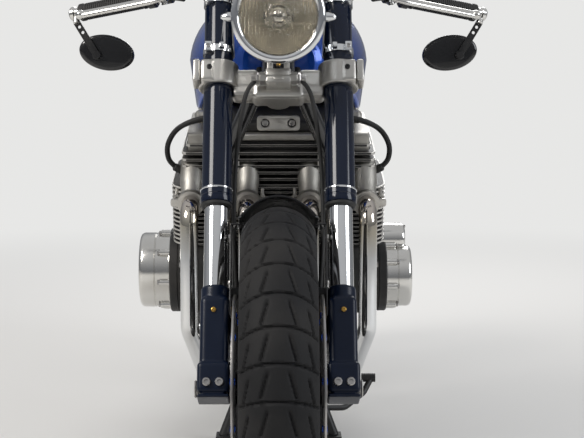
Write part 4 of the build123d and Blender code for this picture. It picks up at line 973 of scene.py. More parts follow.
# Top yoke: the same alloy, thinner, with the stem nut in the middle, pinch bolts at the legs,
# and the bar clamps close below it.
part = bmesh.new()
for side in LEFT_RIGHT:
    add_ring(part, [(0.7735, 0.0264), (0.7735, 0.036), (0.775, 0.0375), (0.799, 0.0375), (0.8005, 0.036),
                    (0.8005, 0.0264)],
             (side * LEG, 0, 0), (0, 0, 1), 48)
    add_block(part, (side * 0.139 - 0.011, -0.036, 0.7745), (side * 0.139 + 0.011, 0.004, 0.7995), 0.005)
    add_block(part, (side * 0.06 - 0.038, -0.008, 0.776), (side * 0.06 + 0.038, 0.026, 0.795), 0.006)
add_turned(part, [(0.774, 0), (0.774, 0.027), (0.776, 0.029), (0.794, 0.029), (0.797, 0.027), (0.797, 0)],
           (0, 0.03, 0), (0, 0, 1), 48)
cast("top_yoke_casting", part, 0.0016, satin_alloy, "front_end", "cast_alloy", "top_yoke",
     place=fork_place, smoothing=5, keep=0.35)
screws("stem_nut", [((0, 0.03, 0.797), (0, 0, 1))], 0.017, 0.012, chrome, "front_end", "chrome", sides=6,
       socket=0.5, place=fork_place)
screws("top_yoke_bolts", [((side * 0.139, -0.0362, 0.787), (0, -1, 0)) for side in LEFT_RIGHT], 0.0048,
       0.004, bare_steel, "front_end", "steel", place=fork_place)


# Headlamp: a chrome shell with a silvered reflector, a bulb under a small shield, and a thick
# moulded glass whose upright flutes spread the light, held in by a rolled rim with one screw.
LAMP = Vector((0, -0.63, 0.915))
silvering = finish("silvering", (0.97, 0.93, 0.84), (0.9, 0.84, 0.74), wear=0.5, rough=0.17, spread=0.06,
                   grain=500, bump=0.02, patch=20, metallic=0.95)


def add_tube(part, line, radii, sides=12, squeeze=1.0):
    """Tube or rod along a line, with one radius or one for each point; squeeze flattens it."""
    if isinstance(radii, float):
        radii = [radii] * len(line)
    ring_before = None
    across = None
    for index, point in enumerate(line):
        along = (line[min(index + 1, len(line) - 1)] - line[max(index - 1, 0)]).normalized()
        if across is None:
            across = along.orthogonal().normalized()
        else:
            across = (across - along * across.dot(along)).normalized()
        other = along.cross(across)
        ring = [
            part.verts.new(point + (across * cos(turn) + other * sin(turn) * squeeze) * radii[index])
            for turn in (2 * pi * step / sides for step in range(sides))
        ]
        if ring_before:
            for step in range(sides):
                after = (step + 1) % sides
                part.faces.new((ring_before[step], ring_before[after], ring[after], ring[step]))
        else:
            part.faces.new(ring[::-1])
        ring_before = ring
    part.faces.new(ring_before)


part = bmesh.new()
shell = [(0.128, 0), (0.128, 0.014)]
shell += [(0.128 - 0.099 * (1 - cos(t)), 0.014 + 0.0583 * sin(t))
          for t in (radians(a) for a in range(12, 91, 13))]
shell += [(0.0135, 0.0727), (0.0135, 0.069), (0.07, 0.03), (0.07, 0)]
add_turned(part, shell, LAMP, (0, 1, 0), 64)
piece("headlamp_shell", part, chrome, "front_end", "chrome", "headlamp_bowl", crease=40)
part = bmesh.new()
dish = [(0.013, 0.0685), (0.013, 0.0668)] + [(0.014 + 0.048 * k / 12, 0.0665 * sqrt(1 - k / 12 * 0.93))
                                             for k in range(13)]
dish += [(0.063, 0.012), (0.064, 0.019), (0.056, 0.034), (0.03, 0.059)]
add_ring(part, dish, LAMP, (0, 1, 0), 64)
add_turned(part, [(0.0615, 0), (0.0615, 0.0172), (0.0635, 0.0172), (0.0635, 0)], LAMP, (0, 1, 0), 32)
piece("headlamp_reflector", part, silvering, "front_end", "chrome", crease=40)
part = bmesh.new()
rim = [(0.0185, 0.0745), (0.0185, 0.08), (0.015, 0.081)]
rim += [(0.0078 - 0.0074 * cos(t), 0.0733 + 0.0076 * sin(t))
        for t in (radians(a) for a in range(90, -46, -15))]
rim += [(0.0052, 0.0662), (0.0115, 0.0662), (0.0125, 0.0742)]
add_ring(part, rim, LAMP, (0, 1, 0), 96)
piece("headlamp_bezel", part, chrome, "front_end", "chrome", "headlamp_rim", crease=50)
screws("headlamp_rim_screw", [(LAMP + Vector((0, 0.01, -0.0811)), (0, -0.2, -1))], 0.004, 0.003,
       gold_anodised, "front_end", "steel", socket=0.5)
part = bmesh.new()
bulb = LAMP + Vector((0, 0.016, 0))
add_turned(part, [(0, 0), (0.001, 0.007), (0.004, 0.0125), (0.01, 0.016), (0.018, 0.0175), (0.018, 0.0155),
                  (0.01, 0.014), (0.006, 0)],
           bulb, (0, 1, 0), 32)
add_bar(part, bulb + Vector((0, 0.01, 0)), bulb + Vector((0, 0.046, 0)), 0.0055, 0.001, 16)
for side in LEFT_RIGHT:
    add_tube(part, smooth_line([bulb + Vector((side * 0.015, 0.014, 0.004)),
                                bulb + Vector((side * 0.024, 0.022, -0.004)),
                                bulb + Vector((side * 0.018, 0.044, -0.01))]), 0.0012, 8)
piece("headlamp_bulb_shield", part, chrome, "front_end", "chrome")
fluted_glass = shader_material("fluted_glass", {
    "Base Color": (1, 0.97, 0.9, 1), "Roughness": 0.03, "IOR": 1.48, "Transmission Weight": 1,
})
part = bmesh.new()
GLASS_R = 0.066
GLASS_COLUMNS = 264
GLASS_ROWS = 48


def flute(x, z):
    """Height of the moulded flutes: coarse, finer below, and finest in the oval before the bulb."""
    reach = sqrt(x * x + z * z)
    oval = sqrt((x / 0.0185) ** 2 + ((z - 0.003) / 0.0215) ** 2)
    ridges = 0.0022 * max(0.0, 1 - abs(oval - 1) / 0.09)
    ridges += 0.0018 * max(0.0, 1 - abs(oval - 1.28) / 0.07) * (z < 0.006)
    if oval < 1:
        return ridges + 0.0006 * abs(sin(pi * x / 0.0024))
    pitch, height = (0.0031, 0.0012) if z < -0.03 else (0.0062, 0.0021)
    return ridges + height * abs(sin(pi * x / pitch)) * min(1.0, (0.0658 - reach) / 0.003)


columns = []
for i in range(GLASS_COLUMNS + 1):
    x = (i / GLASS_COLUMNS * 2 - 1) * GLASS_R * 0.9985
    half_height = sqrt(GLASS_R ** 2 - x * x)
    column = []
    for k in range(GLASS_ROWS + 1):
        z = (k / GLASS_ROWS * 2 - 1) * half_height
        dome = 0.0055 * (1 - (x * x + z * z) / GLASS_R ** 2)
        column.append(part.verts.new(LAMP + Vector((x, 0.0085 - dome + flute(x, z) * 0.9, z))))
    columns.append(column)
for low, high in zip(columns, columns[1:]):
    for k in range(GLASS_ROWS):
        part.faces.new((low[k], high[k], high[k + 1], low[k + 1]))
bmesh.ops.reverse_faces(part, faces=part.faces)
lens = link("headlamp_glass", as_mesh("headlamp_glass", part))
lens.data.shade_smooth()
lens.data.materials.append(fluted_glass)
wall = lens.modifiers.new("wall", "SOLIDIFY")
wall.thickness = 0.0025
wall.offset = -1
settle(lens, "front_end", "lamp_glass", "headlamp_lens")


# Headlamp brackets: on each side a flat plate between two straps round the fork leg reaches
# forward to the lamp's side bolt, and lets the beam be tilted.
part = bmesh.new()
for side in LEFT_RIGHT:
    for s in (0.606, 0.704):
        add_ring(part, [(s, 0.0263), (s, 0.0283), (s + 0.012, 0.0283), (s + 0.012, 0.0263)],
                 (side * LEG, 0, 0), (0, 0, 1), 40)
        add_block(part, (side * 0.1 - 0.0045, -0.0385, s + 0.001),
                  (side * 0.1 + 0.0045, -0.0255, s + 0.011), 0.0015)
        add_block(part, (side * 0.1245 - 0.0062, -0.033, s - 0.0035),
                  (side * 0.1245 + 0.0062, -0.017, s + 0.0155), 0.002)
bmesh.ops.transform(part, matrix=fork_place, verts=part.verts)
for side in LEFT_RIGHT:
    corners = [fork_place @ Vector((0, back, s)) for back, s in ((-0.01, 0.6), (-0.03, 0.6),
                                                                 (-0.034, 0.72), (-0.01, 0.72))]
    lamp_y, lamp_z = LAMP.y + 0.052, LAMP.z
    outline = [(corners[0].y, corners[0].z), (corners[1].y, corners[1].z)]
    outline += [(lamp_y + 0.013 * cos(a), lamp_z + 0.013 * sin(a))
                for a in (radians(d) for d in range(-95, -276, -20))]
    outline += [(corners[2].y, corners[2].z), (corners[3].y, corners[3].z)]
    middle = ((corners[1].y + corners[2].y + lamp_y) / 3 - 0.004, (corners[1].z + corners[2].z + lamp_z) / 3)
    add_plate(part, [outline, circle_loop(*middle, 0.01, 20)], 0.003,
              Matrix.Translation((side * 0.079, 0, 0)) @ along_x, 0.0004)
    add_turned(part, [(0, 0), (0, 0.0085), (0.006, 0.0085), (0.01, 0.007), (0.015, 0.0055),
                      (0.0185, 0.003), (0.0195, 0)],
               (side * 0.0805, lamp_y, lamp_z), (side, 0, 0), 24)
piece("headlamp_ears", part, chrome, "front_end", "chrome", "headlamp_brackets", crease=30)
screws("headlamp_strap_screws", [((side * 0.1245, -0.0332, s + 0.006), (0, -1, 0)) for side in LEFT_RIGHT
                                 for s in (0.606, 0.704)],
       0.0038, 0.003, bare_steel, "front_end", "steel", place=fork_place)


# Clip-on bars: polished clamps round the legs under the top yoke, each with a pinch bolt, and
# straight bars that drop outwards to the grips.
polished_alloy = finish("polished_alloy", (0.76, 0.75, 0.72), (0.62, 0.6, 0.56), wear=0.5, rough=0.15,
                        spread=0.14, grain=500, bump=0.03, patch=12, metallic=1.0)
BAR_START = Vector((0.128, -0.433, 0.976))
BAR_END = Vector((0.384, -0.347, 0.932))
bar_way = (BAR_END - BAR_START).normalized()
part = bmesh.new()
for side in LEFT_RIGHT:
    mirrored = Matrix.Diagonal((side, 1, 1, 1))
    bar = bmesh.new()
    add_ring(bar, [(0.7275, 0.0264), (0.7275, 0.0335), (0.729, 0.035), (0.759, 0.035), (0.7605, 0.0335),
                   (0.7605, 0.0264)],
             (LEG, 0, 0), (0, 0, 1), 48)
    add_block(bar, (0.1, -0.044, 0.729), (0.12, -0.028, 0.759), 0.003)
    bmesh.ops.transform(bar, matrix=fork_place, verts=bar.verts)
    add_bar(bar, BAR_START - bar_way * 0.004, BAR_START + bar_way * 0.04, 0.016, 0.002, 32)
    add_bar(bar, BAR_START, BAR_END, 0.0108, 0.001, 24)
    bmesh.ops.transform(bar, matrix=mirrored, verts=bar.verts)
    add_shape(part, bar)
piece("bars", part, polished_alloy, "front_end", "polished_alloy", "clip_on_bars")
screws("bar_clamp_bolts", [((side * 0.11, -0.044, s), (0, -1, 0)) for side in LEFT_RIGHT
                           for s in (0.7365, 0.7515)], 0.0046, 0.004,
       bare_steel, "front_end", "steel", place=fork_place)


# Grips: black rubber sleeves pushed over the bars, with raised ribs between a flange at the inner
# end and a thicker outer end.
part = bmesh.new()
grip_length = (BAR_END - BAR_START).length
for side in LEFT_RIGHT:
    flip = Matrix.Diagonal((side, 1, 1, 1))
    start = grip_length * 0.46
    end = grip_length * 0.95
    profile = [(start, 0.0112), (start, 0.0165), (start + 0.004, 0.0165), (start + 0.005, 0.0145)]
    ribs = 26
    for rib in range(ribs):
        at = start + 0.008 + (end - start - 0.02) * rib / ribs
        width = (end - start - 0.02) / ribs
        profile += [(at, 0.0145), (at + width * 0.2, 0.0158), (at + width * 0.65, 0.0158),
                    (at + width * 0.85, 0.0145)]
    profile += [(end - 0.01, 0.015), (end - 0.008, 0.0165), (end - 0.001, 0.0165), (end, 0.0155),
                (end, 0.0112)]
    add_ring(part, profile, flip @ BAR_START, flip.to_3x3() @ bar_way, 28)
piece("ribbed_grips", part, black_rubber, "front_end", "rubber", "grips", crease=40)


# Levers: forged and polished dog-leg blades that end in a ball, in black slotted perches clamped to
# the bars beside the switch housings. The brake's fluid pot stands on the right.
black_plastic = finish("black_plastic", (0.018, 0.018, 0.019), (0.03, 0.03, 0.03), wear=0.5, rough=0.48,
                       spread=0.15, grain=1500, bump=0.2, patch=12)
LEVER_REACH = Vector((0, -0.052, -0.008))
part = bmesh.new()
perch = bmesh.new()
for side in LEFT_RIGHT:
    flip = Matrix.Diagonal((side, 1, 1, 1))
    root = BAR_START + bar_way * grip_length * 0.3 + LEVER_REACH
    tip = BAR_START + bar_way * grip_length * 0.93 + LEVER_REACH * 0.9
    line = smooth_line([flip @ point for point in (
        root, root.lerp(tip, 0.12) + Vector((0, -0.004, 0)), root.lerp(tip, 0.3) + Vector((0, -0.003, 0)),
        root.lerp(tip, 0.65), tip)], 8)
    widths = [0.0062 + 0.0026 * min(1.0, 3 * k / (len(line) - 1)) for k in range(len(line))]
    add_tube(part, line, widths, 20, 0.6)
    add_turned(part, [(-0.0092 * cos(a), 0.0092 * sin(a)) for a in (radians(d) for d in range(0, 181, 15))],
               flip @ tip, flip.to_3x3() @ bar_way, 24)
    add_bar(part, flip @ (root - Vector((0, 0, 0.0105))), flip @ (root + Vector((0, 0, 0.0105))), 0.0048,
            0.0006)
    clamp = BAR_START + bar_way * grip_length * 0.3
    add_bar(perch, flip @ (clamp - bar_way * 0.011), flip @ (clamp + bar_way * 0.011), 0.0158, 0.002, 32)
    for rise in (-0.0072, 0.0072):
        add_tube(perch, [flip @ (clamp + Vector((0, -0.01, rise))),
                         flip @ (clamp + LEVER_REACH * 0.6 + Vector((0, 0, rise))),
                         flip @ (root + Vector((0, -0.004, rise)))], [0.009, 0.0085, 0.008], 16, 0.35)
    add_bar(perch, flip @ (clamp + Vector((-0.012, -0.022, -0.004))),
            flip @ (clamp + Vector((-0.034, -0.04, -0.008))), 0.006, 0.001, 12)
    switch = BAR_START + bar_way * grip_length * 0.415
    add_bar(perch, flip @ (switch - bar_way * 0.01), flip @ (switch + bar_way * 0.009), 0.0182, 0.003, 32)
    add_block(perch, (-0.01, -0.024, -0.01), (0.01, -0.014, 0.01), 0.002,
              place=Matrix.Translation(flip @ switch))
piece("brake_and_clutch_levers", part, polished_alloy, "front_end", "polished_alloy", "levers")
piece("lever_perches", perch, black_satin, "front_end", "black_metal", "controls")
part = bmesh.new()
reservoir = BAR_START + bar_way * grip_length * 0.27
reservoir = Vector((-reservoir.x, reservoir.y - 0.02, reservoir.z + 0.012))
add_turned(part, [(0, 0), (0, 0.014), (0.002, 0.0155), (0.018, 0.0155), (0.0185, 0.017), (0.0225, 0.017),
                  (0.0235, 0.0155), (0.0235, 0)],
           reservoir, (0, 0, 1), 36)
piece("brake_fluid_pot", part, black_plastic, "front_end", "black_metal")


# Bar-end mirrors: an egg-shaped black shell with its glass towards the rider, on a drilled arm with
# a ball joint, clamped to a bright plug in the end of each bar.
part = bmesh.new()
arm = bmesh.new()
glass_part = bmesh.new()
for side in LEFT_RIGHT:
    flip = Matrix.Diagonal((side, 1, 1, 1))
    middle = Vector((0.322, -0.338, 0.857))
    tilt = Matrix.Rotation(radians(-10 * side), 4, "Y")
    egg = []
    for k in range(64):
        turn = 2 * pi * k / 64
        egg.append((cos(turn), sin(turn), 1 - 0.1 * cos(turn + radians(40))))
    for target, rows in ((part, ((-0.006, 0.8), (-0.0052, 0.94), (-0.0025, 0.995), (0.0015, 1.0),
                                 (0.005, 0.985), (0.0055, 0.955), (0.0042, 0.945))),
                         (glass_part, ((0.0036, 0.945), (0.0046, 0.94)))):
        rings = []
        for depth, share in rows:
            rings.append([target.verts.new(Matrix.Translation(flip @ middle) @ tilt @ Vector(
                (-side * u * 0.0525 * r * share, depth, w * 0.0335 * r * share))) for u, w, r in egg])
        for low, high in zip(rings, rings[1:]):
            for k in range(64):
                target.faces.new((low[k], high[k], high[(k + 1) % 64], low[(k + 1) % 64]))
        target.faces.new(rings[0][::-1])
        target.faces.new(rings[-1])
    joint = flip @ Vector((0.3435, -0.3505, 0.855))
    add_turned(arm, [(-0.0035, 0), (-0.0035, 0.007), (-0.001, 0.0085), (0.0065, 0.0085), (0.0085, 0.006),
                     (0.009, 0)], joint, (0, 1, 0), 28)
    top = flip @ (BAR_END + Vector((-0.004, -0.01, -0.016)))
    across = (top - joint).normalized()
    arm_place = Matrix.Translation(joint) @ Matrix((
        (across.cross(Vector((0, 1, 0))).x, across.x, 0, 0), (0, 0, 1, 0),
        (across.cross(Vector((0, 1, 0))).z, across.z, 0, 0), (0, 0, 0, 1)))
    reach = (top - joint).length
    outline = [(-0.0062, 0), (-0.0062, reach), (-0.004, reach + 0.005), (0.004, reach + 0.005),
               (0.0062, reach), (0.0062, 0), (0.003, -0.005), (-0.003, -0.005)]
    add_plate(arm, [outline, circle_loop(0, reach - 0.01, 0.0033, 14),
                    circle_loop(0, reach - 0.022, 0.0033, 14)], 0.0036, arm_place, 0.0004)
piece("mirror_shells", part, gloss_black, "front_end", "gloss_black", "mirrors", crease=50)
piece("mirror_arms", arm, black_satin, "front_end", "black_metal", crease=30)
mirror_glass = shader_material("mirror_glass", {
    "Base Color": (0.85, 0.87, 0.88, 1), "Metallic": 1, "Roughness": 0.02,
})
piece("mirror_glasses", glass_part, mirror_glass, "front_end", "lamp_glass")
part = bmesh.new()
for side in LEFT_RIGHT:
    flip = Matrix.Diagonal((side, 1, 1, 1))
    add_turned(part, [(-0.004, 0), (-0.004, 0.011), (-0.002, 0.0135), (0.004, 0.0135), (0.0075, 0.0105),
                      (0.0085, 0.004), (0.0085, 0)],
               flip @ BAR_END, flip.to_3x3() @ bar_way, 32)
    add_bar(part, flip @ (BAR_END + Vector((-0.004, -0.004, -0.004))),
            flip @ (BAR_END + Vector((-0.004, -0.01, -0.018))), 0.006, 0.001, 20)
piece("bar_end_plugs", part, polished_alloy, "front_end", "polished_alloy")


# Gauge: a black can in a chrome ring behind the lamp, on a post from the top yoke, with a plain dial
# of white ticks and one needle.
part = bmesh.new()
add_turned(part, [(0, 0), (0, 0.03), (0.004, 0.036), (0.01, 0.0385), (0.027, 0.0385), (0.027, 0.0345),
                  (0.027, 0)], (0, -0.002, 0.819), (0, 0, 1), 56)
add_bar(part, (0, -0.002, 0.797), (0, -0.002, 0.82), 0.009, 0.001)
piece("gauge_can", part, black_satin, "front_end", "black_metal", "gauge", place=fork_place)
part = bmesh.new()
add_ring(part, [(0.0255, 0.0386), (0.026, 0.04), (0.031, 0.04), (0.0335, 0.0385), (0.0335, 0.0358),
                (0.03, 0.0352), (0.0275, 0.0356)],
         (0, -0.002, 0.819), (0, 0, 1), 64)
piece("gauge_ring", part, chrome, "front_end", "chrome", place=fork_place)
part = bmesh.new()
dial_z = 0.819 + 0.0272
for tick in range(41):
    turn = radians(-135 + 270 * tick / 40)
    inner = 0.0275 if tick % 5 == 0 else 0.03
    spin = Matrix.Translation((0, -0.002, dial_z)) @ Matrix.Rotation(-turn, 4, "Z")
    add_block(part, (-0.0004, inner, 0), (0.0004, 0.0325, 0.0004), 0.0001, 1, place=spin)
needle = Matrix.Translation((0, -0.002, dial_z)) @ Matrix.Rotation(radians(135), 4, "Z")
add_block(part, (-0.0007, -0.006, 0.0012), (0.0007, 0.027, 0.002), 0.0003, 1, place=needle)
add_turned(part, [(0, 0), (0, 0.0035), (0.003, 0.003), (0.003, 0)], (0, -0.002, dial_z), (0, 0, 1), 20)
dial_white = finish("dial_white", (0.75, 0.74, 0.7), (0.66, 0.65, 0.6), wear=0.4, rough=0.5, spread=0.1,
                    grain=900, bump=0.02)
piece("gauge_marks", part, dial_white, "front_end", "black_metal", place=fork_place)


# Crankcase: black casting split level with the crank, with a flange and bolts along the joint,
# ribs on its front, a finned sump with a round cover, and a slotted lid over the gearbox sprocket.
engine_black = finish("engine_black", (0.022, 0.022, 0.022), (0.06, 0.055, 0.05), wear=0.6, rough=0.52,
                      spread=0.25, grain=700, bump=0.3, patch=12, metallic=0.2)
LEAN = radians(12)
engine_place = Matrix(((1, 0, 0, 0), (0, cos(LEAN), -sin(LEAN), -0.141), (0, sin(LEAN), cos(LEAN), 0.42),
                       (0, 0, 0, 1)))
CRANK_Y = -0.141


def round_rect(half_u, low_v, high_v, corner, steps=5):
    """Loop of (u, v) round a rectangle with rounded corners."""
    loop = []
    for centre_u, centre_v, start in ((half_u - corner, high_v - corner, 0),
                                      (corner - half_u, high_v - corner, 90),
                                      (corner - half_u, low_v + corner, 180),
                                      (half_u - corner, low_v + corner, 270)):
        for step in range(steps + 1):
            turn = radians(start + 90 * step / steps)
            loop.append((centre_u + corner * cos(turn), centre_v + corner * sin(turn)))
    return loop


part = bmesh.new()
add_block(part, (-0.1945, CRANK_Y - 0.1195, 0.3425), (0.1945, CRANK_Y + 0.1495, 0.4695), 0.024, 4)
upper = bmesh.new()
add_block(upper, (-0.169, -0.108, 0.02), (0.169, 0.108, 0.0895), 0.012, 3)
bmesh.ops.transform(upper, matrix=engine_place, verts=upper.verts)
add_shape(part, upper)
add_block(part, (-0.0795, CRANK_Y - 0.1495, 0.2655), (0.0795, CRANK_Y + 0.1295, 0.356), 0.018, 4)
add_block(part, (-0.0595, CRANK_Y + 0.03, 0.3005), (0.0595, 0.1045, 0.4695), 0.018, 4)
add_block(part, (-0.1945, CRANK_Y - 0.1195, 0.399), (0.1945, CRANK_Y + 0.1495, 0.411), 0.003, 2)
for x in (-0.16, -0.12, -0.08, -0.04, 0.0, 0.04, 0.08, 0.12, 0.16):
    add_block(part, (x - 0.003, CRANK_Y - 0.1195, 0.36), (x + 0.003, CRANK_Y - 0.09, 0.45), 0.0025, 2)
cast("crankcase_casting", part, 0.0032, engine_black, "chassis", "black_engine", "crankcase", smoothing=4,
     keep=0.3)
part = bmesh.new()
for k in range(9):
    add_plate(part, [round_rect(0.062, CRANK_Y - 0.125, CRANK_Y + 0.105, 0.012)], 0.003,
              Matrix.Translation((0, 0, 0.269 + 0.0075 * k)), 0.0006)
add_turned(part, [(0, 0), (0, 0.0385), (0.006, 0.04), (0.01, 0.04), (0.012, 0.037), (0.012, 0.012),
                  (0.015, 0.01), (0.015, 0)],
           (0, CRANK_Y - 0.135, 0.308), (0, -1, 0), 40)
piece("sump_fins", part, engine_black, "chassis", "black_engine", crease=30)
chain_cover = bmesh.new()
add_plate(chain_cover, [[(0.01, 0.302), (0.016, 0.297), (0.11, 0.2965), (0.118, 0.302), (0.1238, 0.394),
                         (0.118, 0.4005), (0.062, 0.4118), (0.054, 0.4118), (0.014, 0.4005), (0.01, 0.394)],
                        [(0.024, 0.33), (0.028, 0.326), (0.048, 0.326), (0.052, 0.33), (0.052, 0.374),
                         (0.048, 0.378), (0.028, 0.378), (0.024, 0.374)]],
          0.0078, Matrix.Translation((0.115, 0, 0)) @ along_x, 0.0016)
for y, z in ((0.022, 0.312), (0.022, 0.39), (0.079, 0.35)):
    add_bar(chain_cover, (0.056, y, z), (0.113, y, z), 0.0088)
add_ring(chain_cover, [(0.111, 0.02), (0.111, 0.0225), (0.1205, 0.0225), (0.1205, 0.02)], (0, 0.084, 0.35),
         (1, 0, 0), 32)
piece("sprocket_cover", chain_cover, satin_alloy, "chassis", "black_engine", crease=30)
screws("sprocket_cover_screws", [((0.119, y, z), (1, 0, 0)) for y, z in ((0.022, 0.312), (0.022, 0.39),
                                                                         (0.084, 0.35))], 0.0052, 0.005,
       bare_steel, "chassis", "steel")
screws("crankcase_bolts", [((x, CRANK_Y - 0.119, 0.405), (0, -1, 0)) for x in (-0.18, -0.14, -0.1, 0.1,
                                                                               0.14, 0.18)]
       + [((side * 0.1945, CRANK_Y + dy, 0.44), (side, 0, 0)) for side in LEFT_RIGHT
          for dy in (-0.095, 0.125)]
       + [((0, CRANK_Y - 0.15, 0.308), (0, -1, 0))], 0.0058, 0.005, bare_steel, "chassis", "steel", sides=12)


# Barrels: a black block of square-cornered fins whose machined edges are left bright, over four
# sleeves, with long studs at the corners.
def add_fins(fins, edges, ups, half, low, high, corner, thickness):
    """Level fins at each height and the bright band round each one's edge."""
    for up in ups:
        seat = Matrix.Translation((0, 0, up))
        add_plate(fins, [round_rect(half, low, high, corner)], thickness, seat, 0.0004)
        add_plate(edges, [round_rect(half + 0.0003, low - 0.0003, high + 0.0003, corner),
                          round_rect(half - 0.0012, low + 0.0012, high - 0.0012, corner - 0.001)],
                  thickness + 0.0003, seat)


fin_alloy = finish("fin_alloy", (0.62, 0.605, 0.57), (0.42, 0.405, 0.38), wear=0.6, rough=0.44, spread=0.2,
                   grain=900, bump=0.15, patch=16, metallic=0.6)
fins = bmesh.new()
edges = bmesh.new()
add_fins(fins, edges, [0.0915 + 0.115 / 13 * k for k in range(14)], 0.2095, -0.1145, 0.1145, 0.035, 0.0028)
add_block(fins, (-0.175, -0.088, 0.0905), (0.175, 0.088, 0.2075), 0.018, 4)
for x in (-0.205, 0.0, 0.205):
    for back in (-0.1, 0.1):
        add_bar(fins, (x * 0.93, back, 0.0905), (x * 0.93, back, 0.2075), 0.006)
piece("barrel_fins", fins, engine_black, "chassis", "black_engine", "barrels", place=engine_place, crease=30)
piece("barrel_fin_edges", edges, fin_alloy, "chassis", "cast_alloy", place=engine_place, crease=30)


# Cylinder head: black casting with seven fins, a bright machined ledge under the cam cover, round
# ports that lean down to the pipes, inlet stubs behind, and bright corner blocks.
cast_alloy = finish("cast_alloy", (0.47, 0.455, 0.42), (0.27, 0.255, 0.23), wear=0.7, rough=0.46, spread=0.25,
                    grain=800, bump=0.35, patch=16, metallic=0.9)
head_part = bmesh.new()
edges = bmesh.new()
bright = bmesh.new()
ports = bmesh.new()
add_block(head_part, (-0.179, -0.091, 0.2085), (0.179, 0.091, 0.301), 0.01, 3)
add_fins(head_part, edges, [0.2105 + 0.013 * k for k in range(6)], 0.1875, -0.1115, 0.1035, 0.012, 0.0042)
add_fins(head_part, edges, [0.2885], 0.18, -0.1, 0.095, 0.012, 0.0042)
for x in (-0.169, -0.06, 0.06, 0.169):
    start = Vector((x, -0.08, 0.248))
    end = Vector((x, -0.15, 0.19))
    add_turned(ports, [(0, 0), (0, 0.0225), (0.05, 0.0225), (0.056, 0.0205), (0.076, 0.0205),
                       (0.08, 0.0232), (0.09, 0.0232), (0.0905, 0.018), (0.0905, 0)],
               start, end - start, 36)
    for swing in (-1, 1):
        stud = end + Vector((swing * 0.0285, 0.006, 0.005))
        along = (end - start).normalized()
        add_bar(bright, stud - along * 0.022, stud + along * 0.006, 0.0036, 0.0006, 14)
        add_bar(bright, stud - along * 0.006, stud + along * 0.001, 0.0068, 0.0012, 6)
for x in (-0.144, -0.05, 0.05, 0.144):
    add_turned(head_part, [(0, 0), (0, 0.0235), (0.026, 0.0235), (0.03, 0.022), (0.032, 0)],
               (x, 0.08, 0.244), (0, 1, 0), 32)
piece("head_casting", head_part, engine_black, "chassis", "black_engine", "cylinder_head",
      place=engine_place, crease=30)
for side in LEFT_RIGHT:
    add_block(edges, (side * 0.082 - 0.006, -0.111, 0.2095), (side * 0.082 + 0.006, -0.095, 0.29), 0.0025)
piece("exhaust_ports", ports, cast_alloy, "chassis", "cast_alloy", place=engine_place, crease=30)
piece("head_fin_edges", edges, fin_alloy, "chassis", "cast_alloy", place=engine_place, crease=30)
add_plate(bright, [round_rect(0.176, -0.0935, 0.0925, 0.014), round_rect(0.138, -0.078, 0.078, 0.02)],
          0.0105, Matrix.Translation((0, 0, 0.3063)), 0.0012)
for side in LEFT_RIGHT:
    add_block(bright, (side * 0.161 - 0.0155, -0.096, 0.268), (side * 0.161 + 0.0155, -0.072, 0.3105),
              0.004, 3)
    for back in (-0.05, 0.05):
        add_turned(bright, [(0, 0), (0, 0.0135), (0.012, 0.0135), (0.0165, 0.0105), (0.019, 0.006),
                            (0.019, 0)], (side * 0.145, back, 0.3345), (side, 0, 0), 28)
add_block(bright, (-0.088, -0.101, 0.2985), (0.088, -0.09, 0.3115), 0.003, 3)
piece("head_bright_work", bright, cast_alloy, "chassis", "cast_alloy", place=engine_place, crease=30)


# Cam cover: two tunnels over the cams with ribs across the valley between them, in crinkle black,
# with a bright plate and two polished domes on its front.
part = bmesh.new()
add_block(part, (-0.1445, -0.0855, 0.312), (0.1445, 0.0855, 0.332), 0.006, 3)
for back in (-0.048, 0.048):
    add_bar(part, (-0.1445, back, 0.3265), (0.1445, back, 0.3265), 0.029, 0.006, 40)
    add_block(part, (-0.1445, back - 0.0375, 0.312), (0.1445, back + 0.0375, 0.328), 0.005, 3)
for x in (-0.112, -0.056, 0.0, 0.056, 0.112):
    add_block(part, (x - 0.003, -0.046, 0.315), (x + 0.003, 0.046, 0.343), 0.0022, 2)
for x in (-0.026, 0.026):
    add_bar(part, (x, -0.085, 0.33), (x, -0.06, 0.33), 0.0125, 0.001, 24)
cast("cam_cover", part, 0.0019, engine_black, "chassis", "black_engine", place=engine_place, smoothing=4,
     keep=0.35)
flat_back = Matrix(((1, 0, 0, 0), (0, 0, 1, 0), (0, 1, 0, 0), (0, 0, 0, 1)))
part = bmesh.new()
add_plate(part, [round_rect(0.0405, 0.3165, 0.345, 0.0065), circle_loop(-0.026, 0.3308, 0.01),
                 circle_loop(0.026, 0.3308, 0.01)],
          0.006, Matrix.Translation((0, -0.0875, 0)) @ flat_back, 0.0012)
piece("cam_cover_plate", part, satin_alloy, "chassis", "cast_alloy", place=engine_place, crease=30)
screws("cam_plate_screws", [((x, -0.0848, 0.3308), (0, -1, 0)) for x in (-0.026, 0.026)], 0.0064, 0.004,
       bare_steel, "chassis", "steel", place=engine_place)
part = bmesh.new()
for x in (-0.077, 0.077):
    add_turned(part, [(0, 0), (0, 0.0078), (0.0022, 0.0074), (0.0044, 0.0056), (0.0056, 0.0026),
                      (0.0058, 0)], (x, -0.0845, 0.33), (0, -1, 0), 28)
    add_turned(part, [(-0.001, 0), (-0.001, 0.0092), (0.0008, 0.0092), (0.0008, 0)], (x, -0.0845, 0.33),
               (0, -1, 0), 28)
piece("cam_cover_domes", part, polished_alloy, "chassis", "polished_alloy", place=engine_place)
screws("cam_cover_screws", [((x, back, 0.332), (0, 0, 1)) for x in (-0.134, -0.03, 0.03, 0.134)
                            for back in (-0.0815, 0.0815)],
       0.0048, 0.005, bare_steel, "chassis", "steel", place=engine_place)


